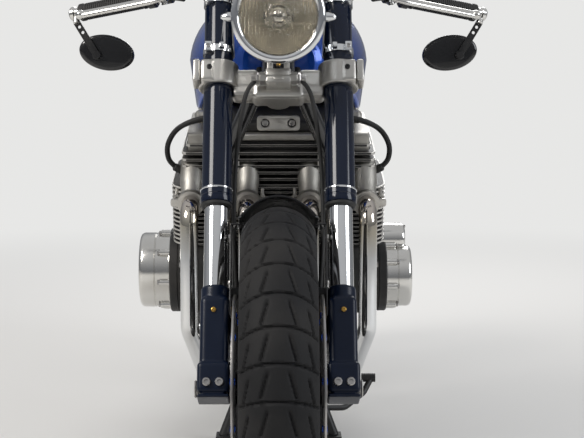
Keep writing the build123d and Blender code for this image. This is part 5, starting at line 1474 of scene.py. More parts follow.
# Engine end covers: polished drums with a rounded outer edge and a raised centre, on a flange with
# screw bosses. The left one has the ignition drum above it.
part = bmesh.new()
flanges = bmesh.new()
seats = []
for side, face_x, z, radius in ((1, 0.273, 0.405, 0.063), (-1, 0.284, 0.418, 0.077)):
    depth = face_x - 0.195
    add_turned(flanges, [
        (0, 0), (0, radius + 0.0095), (0.008, radius + 0.0095), (0.009, radius + 0.008),
        (0.01, radius + 0.0095), (0.0235, radius + 0.0095), (0.026, radius + 0.0075), (0.026, 0),
    ], (side * 0.195, CRANK_Y, z), (side, 0, 0), 72)
    add_turned(part, [
        (0.0255, 0), (0.0255, radius + 0.0035), (0.0275, radius + 0.003), (0.0285, radius - 0.0002),
        (depth * 0.62, radius - 0.0002), (depth * 0.62 + 0.0008, radius - 0.0012),
        (depth * 0.62 + 0.002, radius - 0.0012), (depth * 0.62 + 0.0028, radius - 0.0002),
        (depth - 0.009, radius - 0.0002), (depth - 0.006, radius - 0.001),
        (depth - 0.0026, radius - 0.0032), (depth - 0.0008, radius - 0.0065),
        (depth - 0.0002, radius - 0.011), (depth - 0.0012, radius - 0.014), (depth - 0.0022, radius * 0.6),
        (depth - 0.001, radius * 0.56), (depth - 0.0008, 0.012), (depth - 0.0008, 0),
    ], (side * 0.195, CRANK_Y, z), (side, 0, 0), 72)
    for k in range(8):
        turn = radians(45 * k + 12)
        spot = Vector((side * 0.2205, CRANK_Y + (radius + 0.0026) * cos(turn),
                       z + (radius + 0.0026) * sin(turn)))
        add_turned(part, [(0, 0), (0, 0.0066), (0.019, 0.0066), (0.0205, 0.0054), (0.0205, 0)], spot,
                   (side, 0, 0), 20)
        seats.append((spot + Vector((side * 0.0203, 0, 0)), (side, 0, 0)))
add_turned(part, [(0, 0), (0, 0.0328), (0.058, 0.0328), (0.064, 0.03), (0.0668, 0.025), (0.0668, 0.023),
                  (0.0655, 0.021), (0.0655, 0)],
           (0.195, CRANK_Y + 0.02, 0.48), (1, 0, 0), 48)
piece("engine_cover_flanges", flanges, engine_black, "chassis", "black_engine", crease=30)
piece("engine_cover_castings", part, polished_alloy, "chassis", "polished_alloy", "engine_covers", crease=30)
screws("engine_cover_screws", seats, 0.0046, 0.0045, bare_steel, "chassis", "steel")
screws("ignition_cover_screws", [((0.2605, CRANK_Y + 0.02 + 0.026 * cos(radians(a)),
                                   0.48 + 0.026 * sin(radians(a))), (1, 0, 0)) for a in (90, 210, 330)],
       0.0036, 0.0035, bare_steel, "chassis", "steel")


# Exhaust: four chrome pipes, straw and blue with heat at the top, go down in front of the engine,
# meet under it and end in one silencer on the right. Each port has a finned clamp with two studs.
def bent_line(points, bend, steps=8):
    """Straight runs between points, with one arc of the bend radius at each corner."""
    line = [Vector(points[0])]
    for before, corner, after in zip(points, points[1:], points[2:]):
        corner = Vector(corner)
        back = (Vector(before) - corner).normalized()
        ahead = (Vector(after) - corner).normalized()
        half_angle = back.angle(ahead) / 2
        if half_angle > radians(89):
            line.append(corner)
            continue
        run = bend * cos(half_angle) / sin(half_angle)
        centre = corner + (back + ahead).normalized() * bend / sin(half_angle)
        start = corner + back * run - centre
        end = corner + ahead * run - centre
        sweep = start.angle(end)
        for step in range(steps + 1):
            share = step / steps
            line.append(centre + (start * sin((1 - share) * sweep) + end * sin(share * sweep)) / sin(sweep))
    return [*line, Vector(points[-1])]


PORTS = {x: engine_place @ Vector((x, -0.15, 0.19)) for x in (-0.169, -0.06, 0.06, 0.169)}
HEADER_RUNS = {
    0.169: ((0.169, -0.384, 0.56), (0.169, -0.384, 0.335), (0.14, -0.318, 0.234), (0.04, -0.17, 0.222),
            (-0.06, -0.07, 0.226)),
    0.06: ((0.06, -0.384, 0.56), (0.06, -0.384, 0.29), (0.052, -0.3, 0.226), (-0.02, -0.15, 0.226),
           (-0.078, -0.06, 0.226)),
    -0.06: ((-0.06, -0.384, 0.56), (-0.06, -0.384, 0.29), (-0.062, -0.3, 0.226), (-0.084, -0.15, 0.226),
            (-0.092, -0.06, 0.226)),
    -0.169: ((-0.169, -0.384, 0.56), (-0.169, -0.384, 0.335), (-0.14, -0.318, 0.234),
             (-0.118, -0.17, 0.222), (-0.1, -0.06, 0.226)),
}
hot_chrome = finish("hot_chrome", (0.8, 0.81, 0.82), (0.7, 0.69, 0.66), wear=0.4, rough=0.09, spread=0.08,
                    grain=300, bump=0.01, patch=14, metallic=1)
hot_tree = hot_chrome.node_tree
hot_shader = hot_tree.nodes["Principled BSDF"]
hot_place = (add_node(hot_tree, "ShaderNodeTexCoord"), "Object")
hot_height = (add_node(hot_tree, "ShaderNodeSeparateXYZ", {"Vector": hot_place}), "Z")
hot_wobble = add_node(hot_tree, "ShaderNodeTexNoise", {"Vector": hot_place, "Scale": 11})
hot_edge = add_node(hot_tree, "ShaderNodeMath", {0: hot_wobble, 1: 0.05, 2: hot_height},
                    operation="MULTIPLY_ADD")
hot_range = add_node(hot_tree, "ShaderNodeMapRange", {"Value": hot_edge, "From Min": 0.5, "From Max": 0.625})
hot_ramp = add_node(hot_tree, "ShaderNodeValToRGB", {"Fac": hot_range})
set_ramp(hot_ramp, (0, (1, 1, 1)), (0.45, (0.96, 0.88, 0.72)), (0.72, (0.86, 0.78, 0.7)),
         (1, (0.74, 0.68, 0.64)))
cold_colour = hot_shader.inputs["Base Color"].links[0].from_node
hot_mix = add_node(hot_tree, "ShaderNodeMix", {
    "Factor": 1, 6: (cold_colour, "Colour"), 7: hot_ramp,
}, data_type="RGBA", blend_type="MULTIPLY")
feed(hot_shader, {"Base Color": (hot_mix, 2)})
part = bmesh.new()
clamps = bmesh.new()
for x, run in HEADER_RUNS.items():
    line = bent_line([PORTS[x], *run], 0.034, 12)
    add_tube(part, line, 0.0174, 28)
    way = (line[1] - line[0]).normalized()
    at = PORTS[x] + way * 0.002
    add_ring(clamps, [(0, 0.0176), (0, 0.0262), (0.003, 0.0262), (0.003, 0.0225), (0.0052, 0.0225),
                      (0.0052, 0.0262), (0.0078, 0.0262),
                      (0.0078, 0.0225), (0.01, 0.0225), (0.01, 0.0255), (0.0126, 0.0255),
                      (0.0126, 0.0176)], at, way, 36)
    spread = way.cross(Vector((0, 0, 1))).normalized()
    for swing in (-1, 1):
        seat = Matrix.Translation(at + way * 0.003 + spread * swing * 0.0285)
        seat @= way.to_track_quat("Z", "Y").to_matrix().to_4x4()
        add_plate(clamps, [round_rect(0.0095, -0.0075, 0.0075, 0.005)], 0.006, seat, 0.0006)
piece("header_pipes", part, hot_chrome, "chassis", "chrome", "exhaust", crease=40)
piece("port_clamps", clamps, satin_alloy, "chassis", "cast_alloy", crease=30)
part = bmesh.new()
add_turned(part, [(0, 0), (0, 0.025), (0.004, 0.0285), (0.07, 0.0285), (0.08, 0.0245), (0.082, 0)],
           (-0.092, -0.086, 0.223), (-0.003, 0.076, -0.001), 40)
add_tube(part, bent_line([(-0.095, -0.03, 0.222), (-0.095, 0.01, 0.222), (-0.192, 0.1, 0.24),
                          (-0.192, 0.22, 0.268)], 0.04, 12), 0.0238, 32)
can_start = Vector((-0.192, 0.196, 0.274))
can_way = (Vector((-0.192, 0.56, 0.33)) - can_start).normalized()
add_turned(part, [(-0.002, 0), (-0.002, 0.025), (0.004, 0.027), (0.03, 0.0405), (0.036, 0.0418),
                  (0.04, 0.0405), (0.3, 0.0405), (0.304, 0.0418), (0.316, 0.0418),
                  (0.32, 0.0405), (0.352, 0.033), (0.366, 0.03), (0.367, 0.0285), (0.365, 0.0262),
                  (0.3, 0.025), (0.3, 0.01), (0.3, 0)],
           can_start, can_way, 56)
for at in (-0.012, 0.004):
    add_ring(part, [(at, 0.0236), (at, 0.0268), (at + 0.008, 0.0268), (at + 0.008, 0.0236)], can_start,
             can_way, 36)
piece("silencer", part, chrome, "chassis", "chrome", crease=35)
part = bmesh.new()
strap_at = can_start + can_way * 0.175
add_ring(part, [(-0.009, 0.0406), (-0.009, 0.0419), (0.009, 0.0419), (0.009, 0.0406)], strap_at, can_way, 48)
add_block(part, (-0.156, strap_at.y - 0.008, strap_at.z + 0.026),
          (-0.144, strap_at.y + 0.008, strap_at.z + 0.048), 0.002)
piece("silencer_strap", part, black_satin, "chassis", "black_metal", crease=30)


# Carburettors: four in a row on rubber stubs. Each has a float bowl, a round damper cap with two
# screws and a pleated cone filter with a bright cap, and one throttle shaft joins all four.
filter_felt = finish("filter_felt", (0.2, 0.035, 0.025), (0.12, 0.03, 0.024), wear=0.6, rough=0.85,
                     spread=0.1, grain=1500, bump=0.3, patch=30)
part = bmesh.new()
rubber = bmesh.new()
pleats = bmesh.new()
steel = bmesh.new()
for x in (-0.144, -0.05, 0.05, 0.144):
    add_ring(rubber, [(0.11, 0.015), (0.11, 0.021), (0.118, 0.0222), (0.122, 0.02), (0.134, 0.02),
                      (0.134, 0.015)], (x, 0, 0.244), (0, 1, 0), 28)
    add_bar(part, (x, 0.132, 0.244), (x, 0.18, 0.244), 0.0195, 0.001, 28)
    add_block(part, (x - 0.018, 0.126, 0.214), (x + 0.018, 0.163, 0.262), 0.005, 3)
    add_turned(part, [(0, 0), (0, 0.0205), (0.006, 0.0225), (0.0245, 0.024), (0.0275, 0.024),
                      (0.03, 0.022), (0.033, 0.012), (0.034, 0)], (x, 0.144, 0.2555), (0, 0, 1), 32)
    add_block(part, (x - 0.02, 0.1265, 0.196), (x + 0.02, 0.162, 0.215), 0.004, 3)
    add_turned(steel, [(0, 0), (0, 0.0055), (0.003, 0.0055), (0.004, 0.004), (0.004, 0)],
               (x, 0.144, 0.1962), (0, 0, -1), 6)
    add_ring(steel, [(0.1785, 0.0196), (0.1785, 0.0232), (0.186, 0.0232), (0.186, 0.0196)], (x, 0, 0.244),
             (0, 1, 0), 32)
    rings = []
    for share, at in ((0, 0.186), (1, 0.233)):
        ring = []
        for k in range(96):
            radius = (0.0318 - 0.0035 * share) - (0.0035 if k % 2 else 0)
            ring.append(pleats.verts.new((x + radius * cos(2 * pi * k / 96), at,
                                          0.244 + radius * sin(2 * pi * k / 96))))
        rings.append(ring)
    for k in range(96):
        pleats.faces.new((rings[0][k], rings[1][k], rings[1][(k + 1) % 96], rings[0][(k + 1) % 96]))
    add_turned(steel, [(0, 0), (0, 0.03), (0.001, 0.0308), (0.005, 0.0308), (0.0068, 0.029), (0.007, 0.01),
                       (0.0062, 0)], (x, 0.2325, 0.244), (0, 1, 0), 40)
    add_ring(rubber, [(0.1855, 0.02), (0.1855, 0.0322), (0.1905, 0.0326), (0.1905, 0.02)], (x, 0, 0.244),
             (0, 1, 0), 40)
add_bar(steel, (-0.17, 0.15, 0.229), (0.17, 0.15, 0.229), 0.0035, 0.0006, 16)
add_block(steel, (-0.165, 0.135, 0.2235), (0.165, 0.1385, 0.2325), 0.0008)
piece("carburettor_bodies", part, cast_alloy, "chassis", "cast_alloy", "carburettors", place=engine_place,
      crease=30)
piece("carburettor_stubs", rubber, black_rubber, "chassis", "rubber", place=engine_place, crease=30)
piece("filter_pleats", pleats, filter_felt, "chassis", "rubber", place=engine_place, crease=20)
piece("carburettor_steel", steel, chrome, "chassis", "chrome", place=engine_place, crease=30)
screws("carburettor_screws", [((x + dx, 0.144, 0.283), (0, 0, 1)) for x in (-0.144, -0.05, 0.05, 0.144)
                              for dx in (-0.0205, 0.0205)],
       0.0028, 0.0025, bare_steel, "chassis", "steel", place=engine_place)


# Drive chain: 112 links of inner plates with rollers and outer plates with pins, by turns, on a
# belt line round both sprockets.

# Copies on spots: the mesh holds one drawn piece and bare spots, and each spot gets a copy of the
# piece, turned by the spot's own angles.
spot_tree, spot_in, spot_out = new_group(
    "copies_on_spots", "GeometryNodeTree", {"Geometry": "Geometry", "Material": "Material"},
    {"Geometry": "Geometry"})
is_spot = add_node(spot_tree, "GeometryNodeInputNamedAttribute", {"Name": "spot"}, data_type="FLOAT")
spot_turn = add_node(spot_tree, "GeometryNodeInputNamedAttribute", {"Name": "turn"}, data_type="FLOAT_VECTOR")
spot_part = add_node(spot_tree, "GeometryNodeSeparateGeometry", {"Geometry": spot_in, "Selection": is_spot})
end_tree(spot_tree, spot_in, spot_out, add_node(spot_tree, "GeometryNodeInstanceOnPoints", {
    "Points": add_node(spot_tree, "GeometryNodeMeshToPoints", {"Mesh": spot_part}),
    "Instance": (spot_part, "Inverted"),
    "Rotation": add_node(spot_tree, "FunctionNodeEulerToRotation", {"Euler": spot_turn}),
}))


def copies(name, part, spots, material, body, slot_name, *replaced, crease=35):
    """Copies of a piece drawn at the origin on spots of (place, angles about X, Y and Z)."""
    bmesh.ops.recalc_face_normals(part, faces=part.faces)
    spot_layer = part.verts.layers.float.new("spot")
    turn_layer = part.verts.layers.float_vector.new("turn")
    for place, turn in spots:
        vertex = part.verts.new(place)
        vertex[spot_layer] = 1.0
        vertex[turn_layer] = turn
    obj = grow(name, as_mesh(name, part), spot_tree, crease, {"Material": material})
    return settle(obj, body, slot_name, *replaced)


CHAIN_LINKS = 112
CHAIN_PITCH = 0.015875
FRONT_TEETH = 17
REAR_TEETH = 42
SPROCKETS = ((Vector((0.075, 0.35)), CHAIN_PITCH / (2 * sin(pi / FRONT_TEETH))),
             (Vector((0.729, 0.334)), CHAIN_PITCH / (2 * sin(pi / REAR_TEETH))))
(front_centre, front_r), (rear_centre, rear_r) = SPROCKETS
span = rear_centre - front_centre
lean = atan2(span.y, span.x)
flare = atan2(rear_r - front_r, sqrt(span.length ** 2 - (rear_r - front_r) ** 2))
run = sqrt(span.length ** 2 - (rear_r - front_r) ** 2)


def chain_point(at):
    """Place on the belt line, a share of the whole way round from the front sprocket's top."""
    lengths = (run, rear_r * (pi + 2 * flare), run, front_r * (pi - 2 * flare))
    left = (at % 1.0) * sum(lengths)
    top = lean + pi / 2 + flare
    bottom = lean - pi / 2 - flare
    out_top = Vector((cos(top), sin(top)))
    out_bottom = Vector((cos(bottom), sin(bottom)))
    if left < lengths[0]:
        return (front_centre + out_top * front_r).lerp(rear_centre + out_top * rear_r, left / run)
    left -= lengths[0]
    if left < lengths[1]:
        turn = top - left / rear_r
        return rear_centre + Vector((cos(turn), sin(turn))) * rear_r
    left -= lengths[1]
    if left < lengths[2]:
        return (rear_centre + out_bottom * rear_r).lerp(front_centre + out_bottom * front_r, left / run)
    turn = bottom - (left - lengths[2]) / front_r
    return front_centre + Vector((cos(turn), sin(turn))) * front_r


link_spots = ([], [])
for index in range(CHAIN_LINKS):
    here = chain_point(index / CHAIN_LINKS)
    ahead = chain_point((index + 1) / CHAIN_LINKS)
    middle = (here + ahead) / 2
    link_spots[index % 2].append((Vector((0.1, middle.x, middle.y)),
                                  (atan2(ahead.y - here.y, ahead.x - here.x), 0, 0)))
half_pitch = 0.00796
link_loop = [(half_pitch + 0.0064 * cos(radians(a)), 0.0064 * sin(radians(a))) for a in (-75, -25, 25, 75)]
link_loop += [(0, 0.0047)] + [(-half_pitch + 0.0064 * cos(radians(a)), 0.0064 * sin(radians(a)))
                              for a in (105, 155, 205, 255)] + [(0, -0.0047)]
outer_link = bmesh.new()
inner_link = bmesh.new()
for side in LEFT_RIGHT:
    add_plate(outer_link, [link_loop], 0.0012, Matrix.Translation((side * 0.0068, 0, 0)) @ along_x)
    add_plate(inner_link, [link_loop], 0.0012, Matrix.Translation((side * 0.0053, 0, 0)) @ along_x)
for side in LEFT_RIGHT:
    add_turned(outer_link, [(-0.0079, 0), (-0.0079, 0.0026), (0.0079, 0.0026), (0.0079, 0)],
               (0, side * half_pitch, 0), (1, 0, 0), 8)
    add_turned(inner_link, [(-0.0046, 0.003), (-0.0046, 0.005), (0.0046, 0.005), (0.0046, 0.003)],
               (0, side * half_pitch, 0), (1, 0, 0), 10)
copies("chain_outer_links", outer_link, link_spots[0], bare_steel, "chassis", "steel", "drive_chain")
copies("chain_inner_links", inner_link, link_spots[1], gold_anodised, "chassis", "steel")
part = bmesh.new()
teeth = []
for tooth in range(FRONT_TEETH):
    for share, radius in ((-0.32, front_r - 0.0056), (-0.14, front_r + 0.003), (0.14, front_r + 0.003),
                          (0.32, front_r - 0.0056)):
        angle = 2 * pi * (tooth + share) / FRONT_TEETH
        teeth.append((front_centre.x + radius * cos(angle), front_centre.y + radius * sin(angle)))
add_plate(part, [teeth], 0.0062, Matrix.Translation((0.1, 0, 0)) @ along_x, 0.0004)
add_bar(part, (0.056, front_centre.x, front_centre.y), (0.109, front_centre.x, front_centre.y), 0.013)
piece("gearbox_sprocket", part, bare_steel, "chassis", "steel", crease=25)


# Rear wheel's disc and sprocket: a drilled rotor with five cut-outs, a toothed ring with round
# holes on a spider, and their bolts.
part = bmesh.new()
loops = [circle_loop(0, 0, 0.12, 90), circle_loop(0, 0, 0.0325, 36)]
loops += [window(0.046, 0.078, radians(72 * k + 10), radians(72 * k + 62)) for k in range(5)]
for group in range(15):
    for index in range(3):
        angle = radians(24 * group + 7 * index)
        radius = 0.0885 + 0.0115 * index
        loops.append(circle_loop(radius * cos(angle), radius * sin(angle), 0.0027, 12))
add_plate(part, loops, 0.0046, Matrix.Translation((-0.096, REAR_AXLE.y, REAR_AXLE.z)) @ along_x, 0.0004)
piece("rear_rotor", part, bare_steel, "rear_wheel_set", "disc_steel", "rear_disc", crease=25)
part = bmesh.new()
teeth = []
tip = rear_r - 0.013
for tooth in range(REAR_TEETH):
    for share, radius in ((-0.34, tip - 0.007), (-0.16, tip - 0.0008), (-0.1, tip), (0.1, tip),
                          (0.16, tip - 0.0008), (0.34, tip - 0.007)):
        angle = 2 * pi * (tooth + share) / REAR_TEETH
        teeth.append((radius * cos(angle), radius * sin(angle)))
loops = [teeth, circle_loop(0, 0, 0.0305, 40)]
loops += [circle_loop(0.058 * cos(radians(60 * k)), 0.058 * sin(radians(60 * k)), 0.0142, 28)
          for k in range(6)]
loops += [circle_loop(0.073 * cos(radians(60 * k + 30)), 0.073 * sin(radians(60 * k + 30)), 0.006, 16)
          for k in range(6)]
add_plate(part, loops, 0.0066, Matrix.Translation((0.1, REAR_AXLE.y, REAR_AXLE.z)) @ along_x, 0.0005)
piece("rear_sprocket_ring", part, gold_anodised, "rear_wheel_set", "steel", "rear_sprocket", crease=25)
screws("rear_hub_screws", [
    (REAR_AXLE + Vector((side * at, 0.0385 * cos(radians(60 * k + 30)),
                         0.0385 * sin(radians(60 * k + 30)))), (side, 0, 0))
    for side, at in ((1, 0.1034), (-1, 0.0983)) for k in range(6)
], 0.0056, 0.005, bare_steel, "rear_wheel_set", "disc_steel", sides=6, socket=0)


# Rear calliper: two black cast halves over the rear disc, on an arm from the axle, with steel piston
# caps and a bleed nipple.
rear_calliper_place = Matrix.Translation(REAR_AXLE + Vector((-0.096, -0.074, 0.076)))
rear_calliper_place @= Matrix.Rotation(radians(-44), 4, "X")
part = bmesh.new()
halves = bmesh.new()
for low_x, high_x in ((-0.0215, -0.0066), (0.0066, 0.0215)):
    add_block(halves, (low_x, -0.033, -0.025), (high_x, 0.033, 0.025), 0.005, 3)
add_block(halves, (-0.0215, -0.033, 0.012), (0.0215, -0.014, 0.0255), 0.004, 3)
add_block(halves, (-0.0215, 0.014, 0.012), (0.0215, 0.033, 0.0255), 0.004, 3)
bmesh.ops.transform(halves, matrix=rear_calliper_place, verts=halves.verts)
add_shape(part, halves)
add_block(part, (-0.1295, REAR_AXLE.y - 0.0875, REAR_AXLE.z + 0.023),
          (-0.1045, REAR_AXLE.y - 0.0605, REAR_AXLE.z + 0.076), 0.004, 3)
cast("rear_calliper_casting", part, 0.0016, black_satin, "chassis", "black_metal", "rear_calliper",
     smoothing=4, keep=0.4)
part = bmesh.new()
for way in LEFT_RIGHT:
    for y in (-0.016, 0.016):
        add_turned(part, [(0, 0), (0, 0.0105), (0.0018, 0.0098), (0.0018, 0.007), (0.0008, 0.0066),
                          (0.0008, 0)], (way * 0.0212, y, -0.004), (way, 0, 0), 24)
add_bar(part, (0, 0.024, 0.02), (0, 0.024, 0.036), 0.004, 0.0006, 12)
piece("rear_calliper_caps", part, bare_steel, "chassis", "steel", place=rear_calliper_place, crease=30)


# Swingarm fittings: chain adjusters with their lock nuts, axle and pivot nuts, a plastic slider
# for the chain on the pivot, and a weld bead round each main joint of the frame's tubes.
frame_black = finish("frame_black", (0.009, 0.009, 0.01), (0.02, 0.02, 0.021), wear=0.4, rough=0.26,
                     spread=0.12, grain=500, bump=0.03, patch=10, coat=0.8)
part = bmesh.new()
for side in LEFT_RIGHT:
    add_block(part, (side * 0.131 - 0.0175, REAR_AXLE.y + 0.0402, REAR_AXLE.z - 0.02),
              (side * 0.131 + 0.0175, REAR_AXLE.y + 0.0452, REAR_AXLE.z + 0.02), 0.0015)
    add_bar(part, (side * 0.131, REAR_AXLE.y + 0.045, REAR_AXLE.z),
            (side * 0.131, REAR_AXLE.y + 0.062, REAR_AXLE.z), 0.004, 0.0006, 14)
    add_bar(part, (side * 0.131, REAR_AXLE.y + 0.0452, REAR_AXLE.z),
            (side * 0.131, REAR_AXLE.y + 0.051, REAR_AXLE.z), 0.0075, 0.001, 6)
    add_bar(part, (side * 0.1545, REAR_AXLE.y, REAR_AXLE.z), (side * 0.1655, REAR_AXLE.y, REAR_AXLE.z),
            0.0165, 0.0018, 6)
    add_bar(part, (side * 0.1655, REAR_AXLE.y, REAR_AXLE.z), (side * 0.168, REAR_AXLE.y, REAR_AXLE.z),
            0.0098, 0.001, 20)
    add_bar(part, (side * 0.1545, 0.15, 0.335), (side * 0.1655, 0.15, 0.335), 0.0145, 0.0016, 6)
piece("axle_and_pivot_nuts", part, bare_steel, "chassis", "steel", crease=25)
part = bmesh.new()
add_block(part, (0.0925, 0.118, 0.3585), (0.1155, 0.26, 0.364), 0.002)
add_tube(part, [Vector((0.104, 0.1235, 0.36)), Vector((0.104, 0.1175, 0.35)),
                Vector((0.104, 0.1175, 0.325)), Vector((0.104, 0.1235, 0.312))], 0.004, 10)
piece("chain_slider", part, black_plastic, "chassis", "rubber")


def bead_spots(centre, axis, radius, count):
    """Evenly spaced places on a circle, each facing along it, for the ripples of a weld."""
    axis = Vector(axis).normalized()
    side = axis.orthogonal().normalized()
    other = axis.cross(side)
    spots = []
    for k in range(count):
        turn = 2 * pi * k / count
        out = side * cos(turn) + other * sin(turn)
        spots.append((Vector(centre) + out * radius,
                      tuple(out.cross(axis).to_track_quat("Z", "Y").to_euler())))
    return spots


ripple = bmesh.new()
add_turned(ripple, [(-0.0011, 0), (-0.0011, 0.0022), (0.0011, 0.0026), (0.0011, 0)], (0, 0, 0), (0, 0, 1), 8)
joint_beads = []
for centre, axis, radius, count in (
    (fork_place @ Vector((0.0, 0.06, 0.64)), (0, 1, -0.176), 0.0245, 60),
    ((0.062, 0.112, 0.776), (1, 0, 0), 0.0145, 34), ((-0.062, 0.112, 0.776), (1, 0, 0), 0.0145, 34),
    ((0.0735, 0.1133, 0.756), (0, 0.085, 1), 0.0135, 32),
    ((-0.0735, 0.1133, 0.756), (0, 0.085, 1), 0.0135, 32),
    ((0.074, 0.1378, 0.418), (0, 0.085, 1), 0.0135, 32),
    ((-0.074, 0.1378, 0.418), (0, 0.085, 1), 0.0135, 32),
    ((0.0985, 0.427, 0.7645), (0.09, 0.65, 0.75), 0.0105, 26),
    ((-0.0985, 0.427, 0.7645), (-0.09, 0.65, 0.75), 0.0105, 26),
    ((0.077, 0.2, 0.4185), (0.09, 0.65, 0.75), 0.0105, 26),
    ((-0.077, 0.2, 0.4185), (-0.09, 0.65, 0.75), 0.0105, 26),
):
    joint_beads += bead_spots(centre, axis, radius, count)
copies("weld_beads", ripple, joint_beads, frame_black, "chassis", "frame_paint", crease=60)
dress("rear_axle", bare_steel)
dress("swingarm", black_satin)
dress("frame_spine", frame_black)
dress("frame_cradle", frame_black)
dress("frame_rear", frame_black)


# Shock absorbers: chromed coil springs round a black damper, on a threaded collar below and under
# a bright cup above, with rubber bushes in both eyes. One tree winds the coils.

# Coil springs: one wire is wound for each seat.
spring_tree, spring_in, spring_out = new_group("wound_spring", "GeometryNodeTree", {
    "Geometry": "Geometry", "Turns": "Float", "Coil Radius": "Float", "Height": "Float",
    "Wire Radius": "Float", "Material": "Material",
}, {"Geometry": "Geometry"})
spring_line = add_node(spring_tree, "GeometryNodeCurveSpiral", {
    "Resolution": 30, "Rotations": (spring_in, "Turns"), "Start Radius": (spring_in, "Coil Radius"),
    "End Radius": (spring_in, "Coil Radius"), "Height": (spring_in, "Height"),
})
spring_wire = add_node(spring_tree, "GeometryNodeCurvePrimitiveCircle", {
    "Resolution": 12, "Radius": (spring_in, "Wire Radius"),
})
put_on_seats(spring_tree, spring_in, spring_out, add_node(spring_tree, "GeometryNodeCurveToMesh", {
    "Curve": spring_line, "Profile Curve": spring_wire, "Fill Caps": True,
}))


def springs(name, seats, turns, coil_r, height, wire_r, material, body, slot_name, *replaced):
    """Coil springs on seats of (place, direction)."""
    values = {"Turns": turns, "Coil Radius": coil_r, "Height": height, "Wire Radius": wire_r,
              "Material": material}
    obj = grow(name, seats_mesh(name, seats), spring_tree, 60, values)
    return settle(obj, body, slot_name, *replaced)


SHOCK_LOW = Vector((0.164, REAR_AXLE.y - 0.093, REAR_AXLE.z + 0.006))
SHOCK_TOP = Vector((0.164, REAR_AXLE.y - 0.189, 0.724))
shock_way = (SHOCK_TOP - SHOCK_LOW).normalized()
shock_length = (SHOCK_TOP - SHOCK_LOW).length
damper = bmesh.new()
bright = bmesh.new()
bushes = bmesh.new()
for side in LEFT_RIGHT:
    low = Vector((side * SHOCK_LOW.x, SHOCK_LOW.y, SHOCK_LOW.z))
    add_turned(damper, [(0.012, 0), (0.012, 0.01), (0.026, 0.012), (0.034, 0.0185), (0.19, 0.0185),
                        (0.196, 0.016), (0.196, 0)], low, shock_way, 36)
    thread = [(0.062, 0.0186), (0.062, 0.02)]
    for k in range(8):
        thread += [(0.064 + 0.0022 * k, 0.02), (0.0651 + 0.0022 * k, 0.0192)]
    thread += [(0.0825, 0.02), (0.0825, 0.0186)]
    add_ring(damper, thread, low, shock_way, 36)
    add_ring(bright, [(0.0825, 0.0187), (0.0825, 0.027), (0.084, 0.0284), (0.089, 0.0284),
                      (0.0895, 0.0187)], low, shock_way, 40)
    add_turned(bright, [(0.19, 0), (0.19, 0.008), (0.31, 0.008), (0.31, 0)], low, shock_way, 24)
    add_turned(bright, [(0.308, 0), (0.308, 0.027), (0.3095, 0.0284), (0.315, 0.0284), (0.32, 0.024),
                        (0.35, 0.017), (0.372, 0.012), (0.382, 0.01), (0.382, 0)],
               low, shock_way, 40)
    for end in (low, low + shock_way * shock_length):
        add_ring(bright, [(-0.0135, 0.0082), (-0.0135, 0.0145), (-0.0125, 0.015), (0.0125, 0.015),
                          (0.0135, 0.0145), (0.0135, 0.0082)], end, (1, 0, 0), 36)
        add_ring(bushes, [(-0.0145, 0.005), (-0.0145, 0.01), (-0.0135, 0.011), (0.0135, 0.011),
                          (0.0145, 0.01), (0.0145, 0.005)], end, (1, 0, 0), 28)
        add_bar(bright, end + Vector((side * 0.014, 0, 0)), end + Vector((side * 0.021, 0, 0)), 0.0105,
                0.0018, 6)
    top = low + shock_way * shock_length
    add_bar(bright, Vector((side * 0.096, top.y, top.z)), Vector((side * 0.15, top.y, top.z)), 0.0068, 0.0006)
    add_bar(bright, Vector((side * 0.1465, low.y, low.z)), Vector((side * 0.15, low.y, low.z)), 0.0068,
            0.0006)
    add_block(damper, (side * 0.099 - 0.0048, top.y - 0.0195, 0.7125),
              (side * 0.099 + 0.0048, top.y + 0.0195, 0.769), 0.002)
spring_seats = [(Vector((side * SHOCK_LOW.x, SHOCK_LOW.y, SHOCK_LOW.z)) + shock_way * 0.0925, shock_way)
                for side in LEFT_RIGHT]
springs("shock_springs", spring_seats, 9.5, 0.0238, 0.213, 0.004, chrome, "chassis", "chrome",
        "shock_absorbers")
piece("shock_dampers", damper, black_satin, "chassis", "black_metal", crease=30)
piece("shock_bright_parts", bright, chrome, "chassis", "chrome", crease=30)
piece("shock_bushes", bushes, black_rubber, "chassis", "rubber", crease=30)


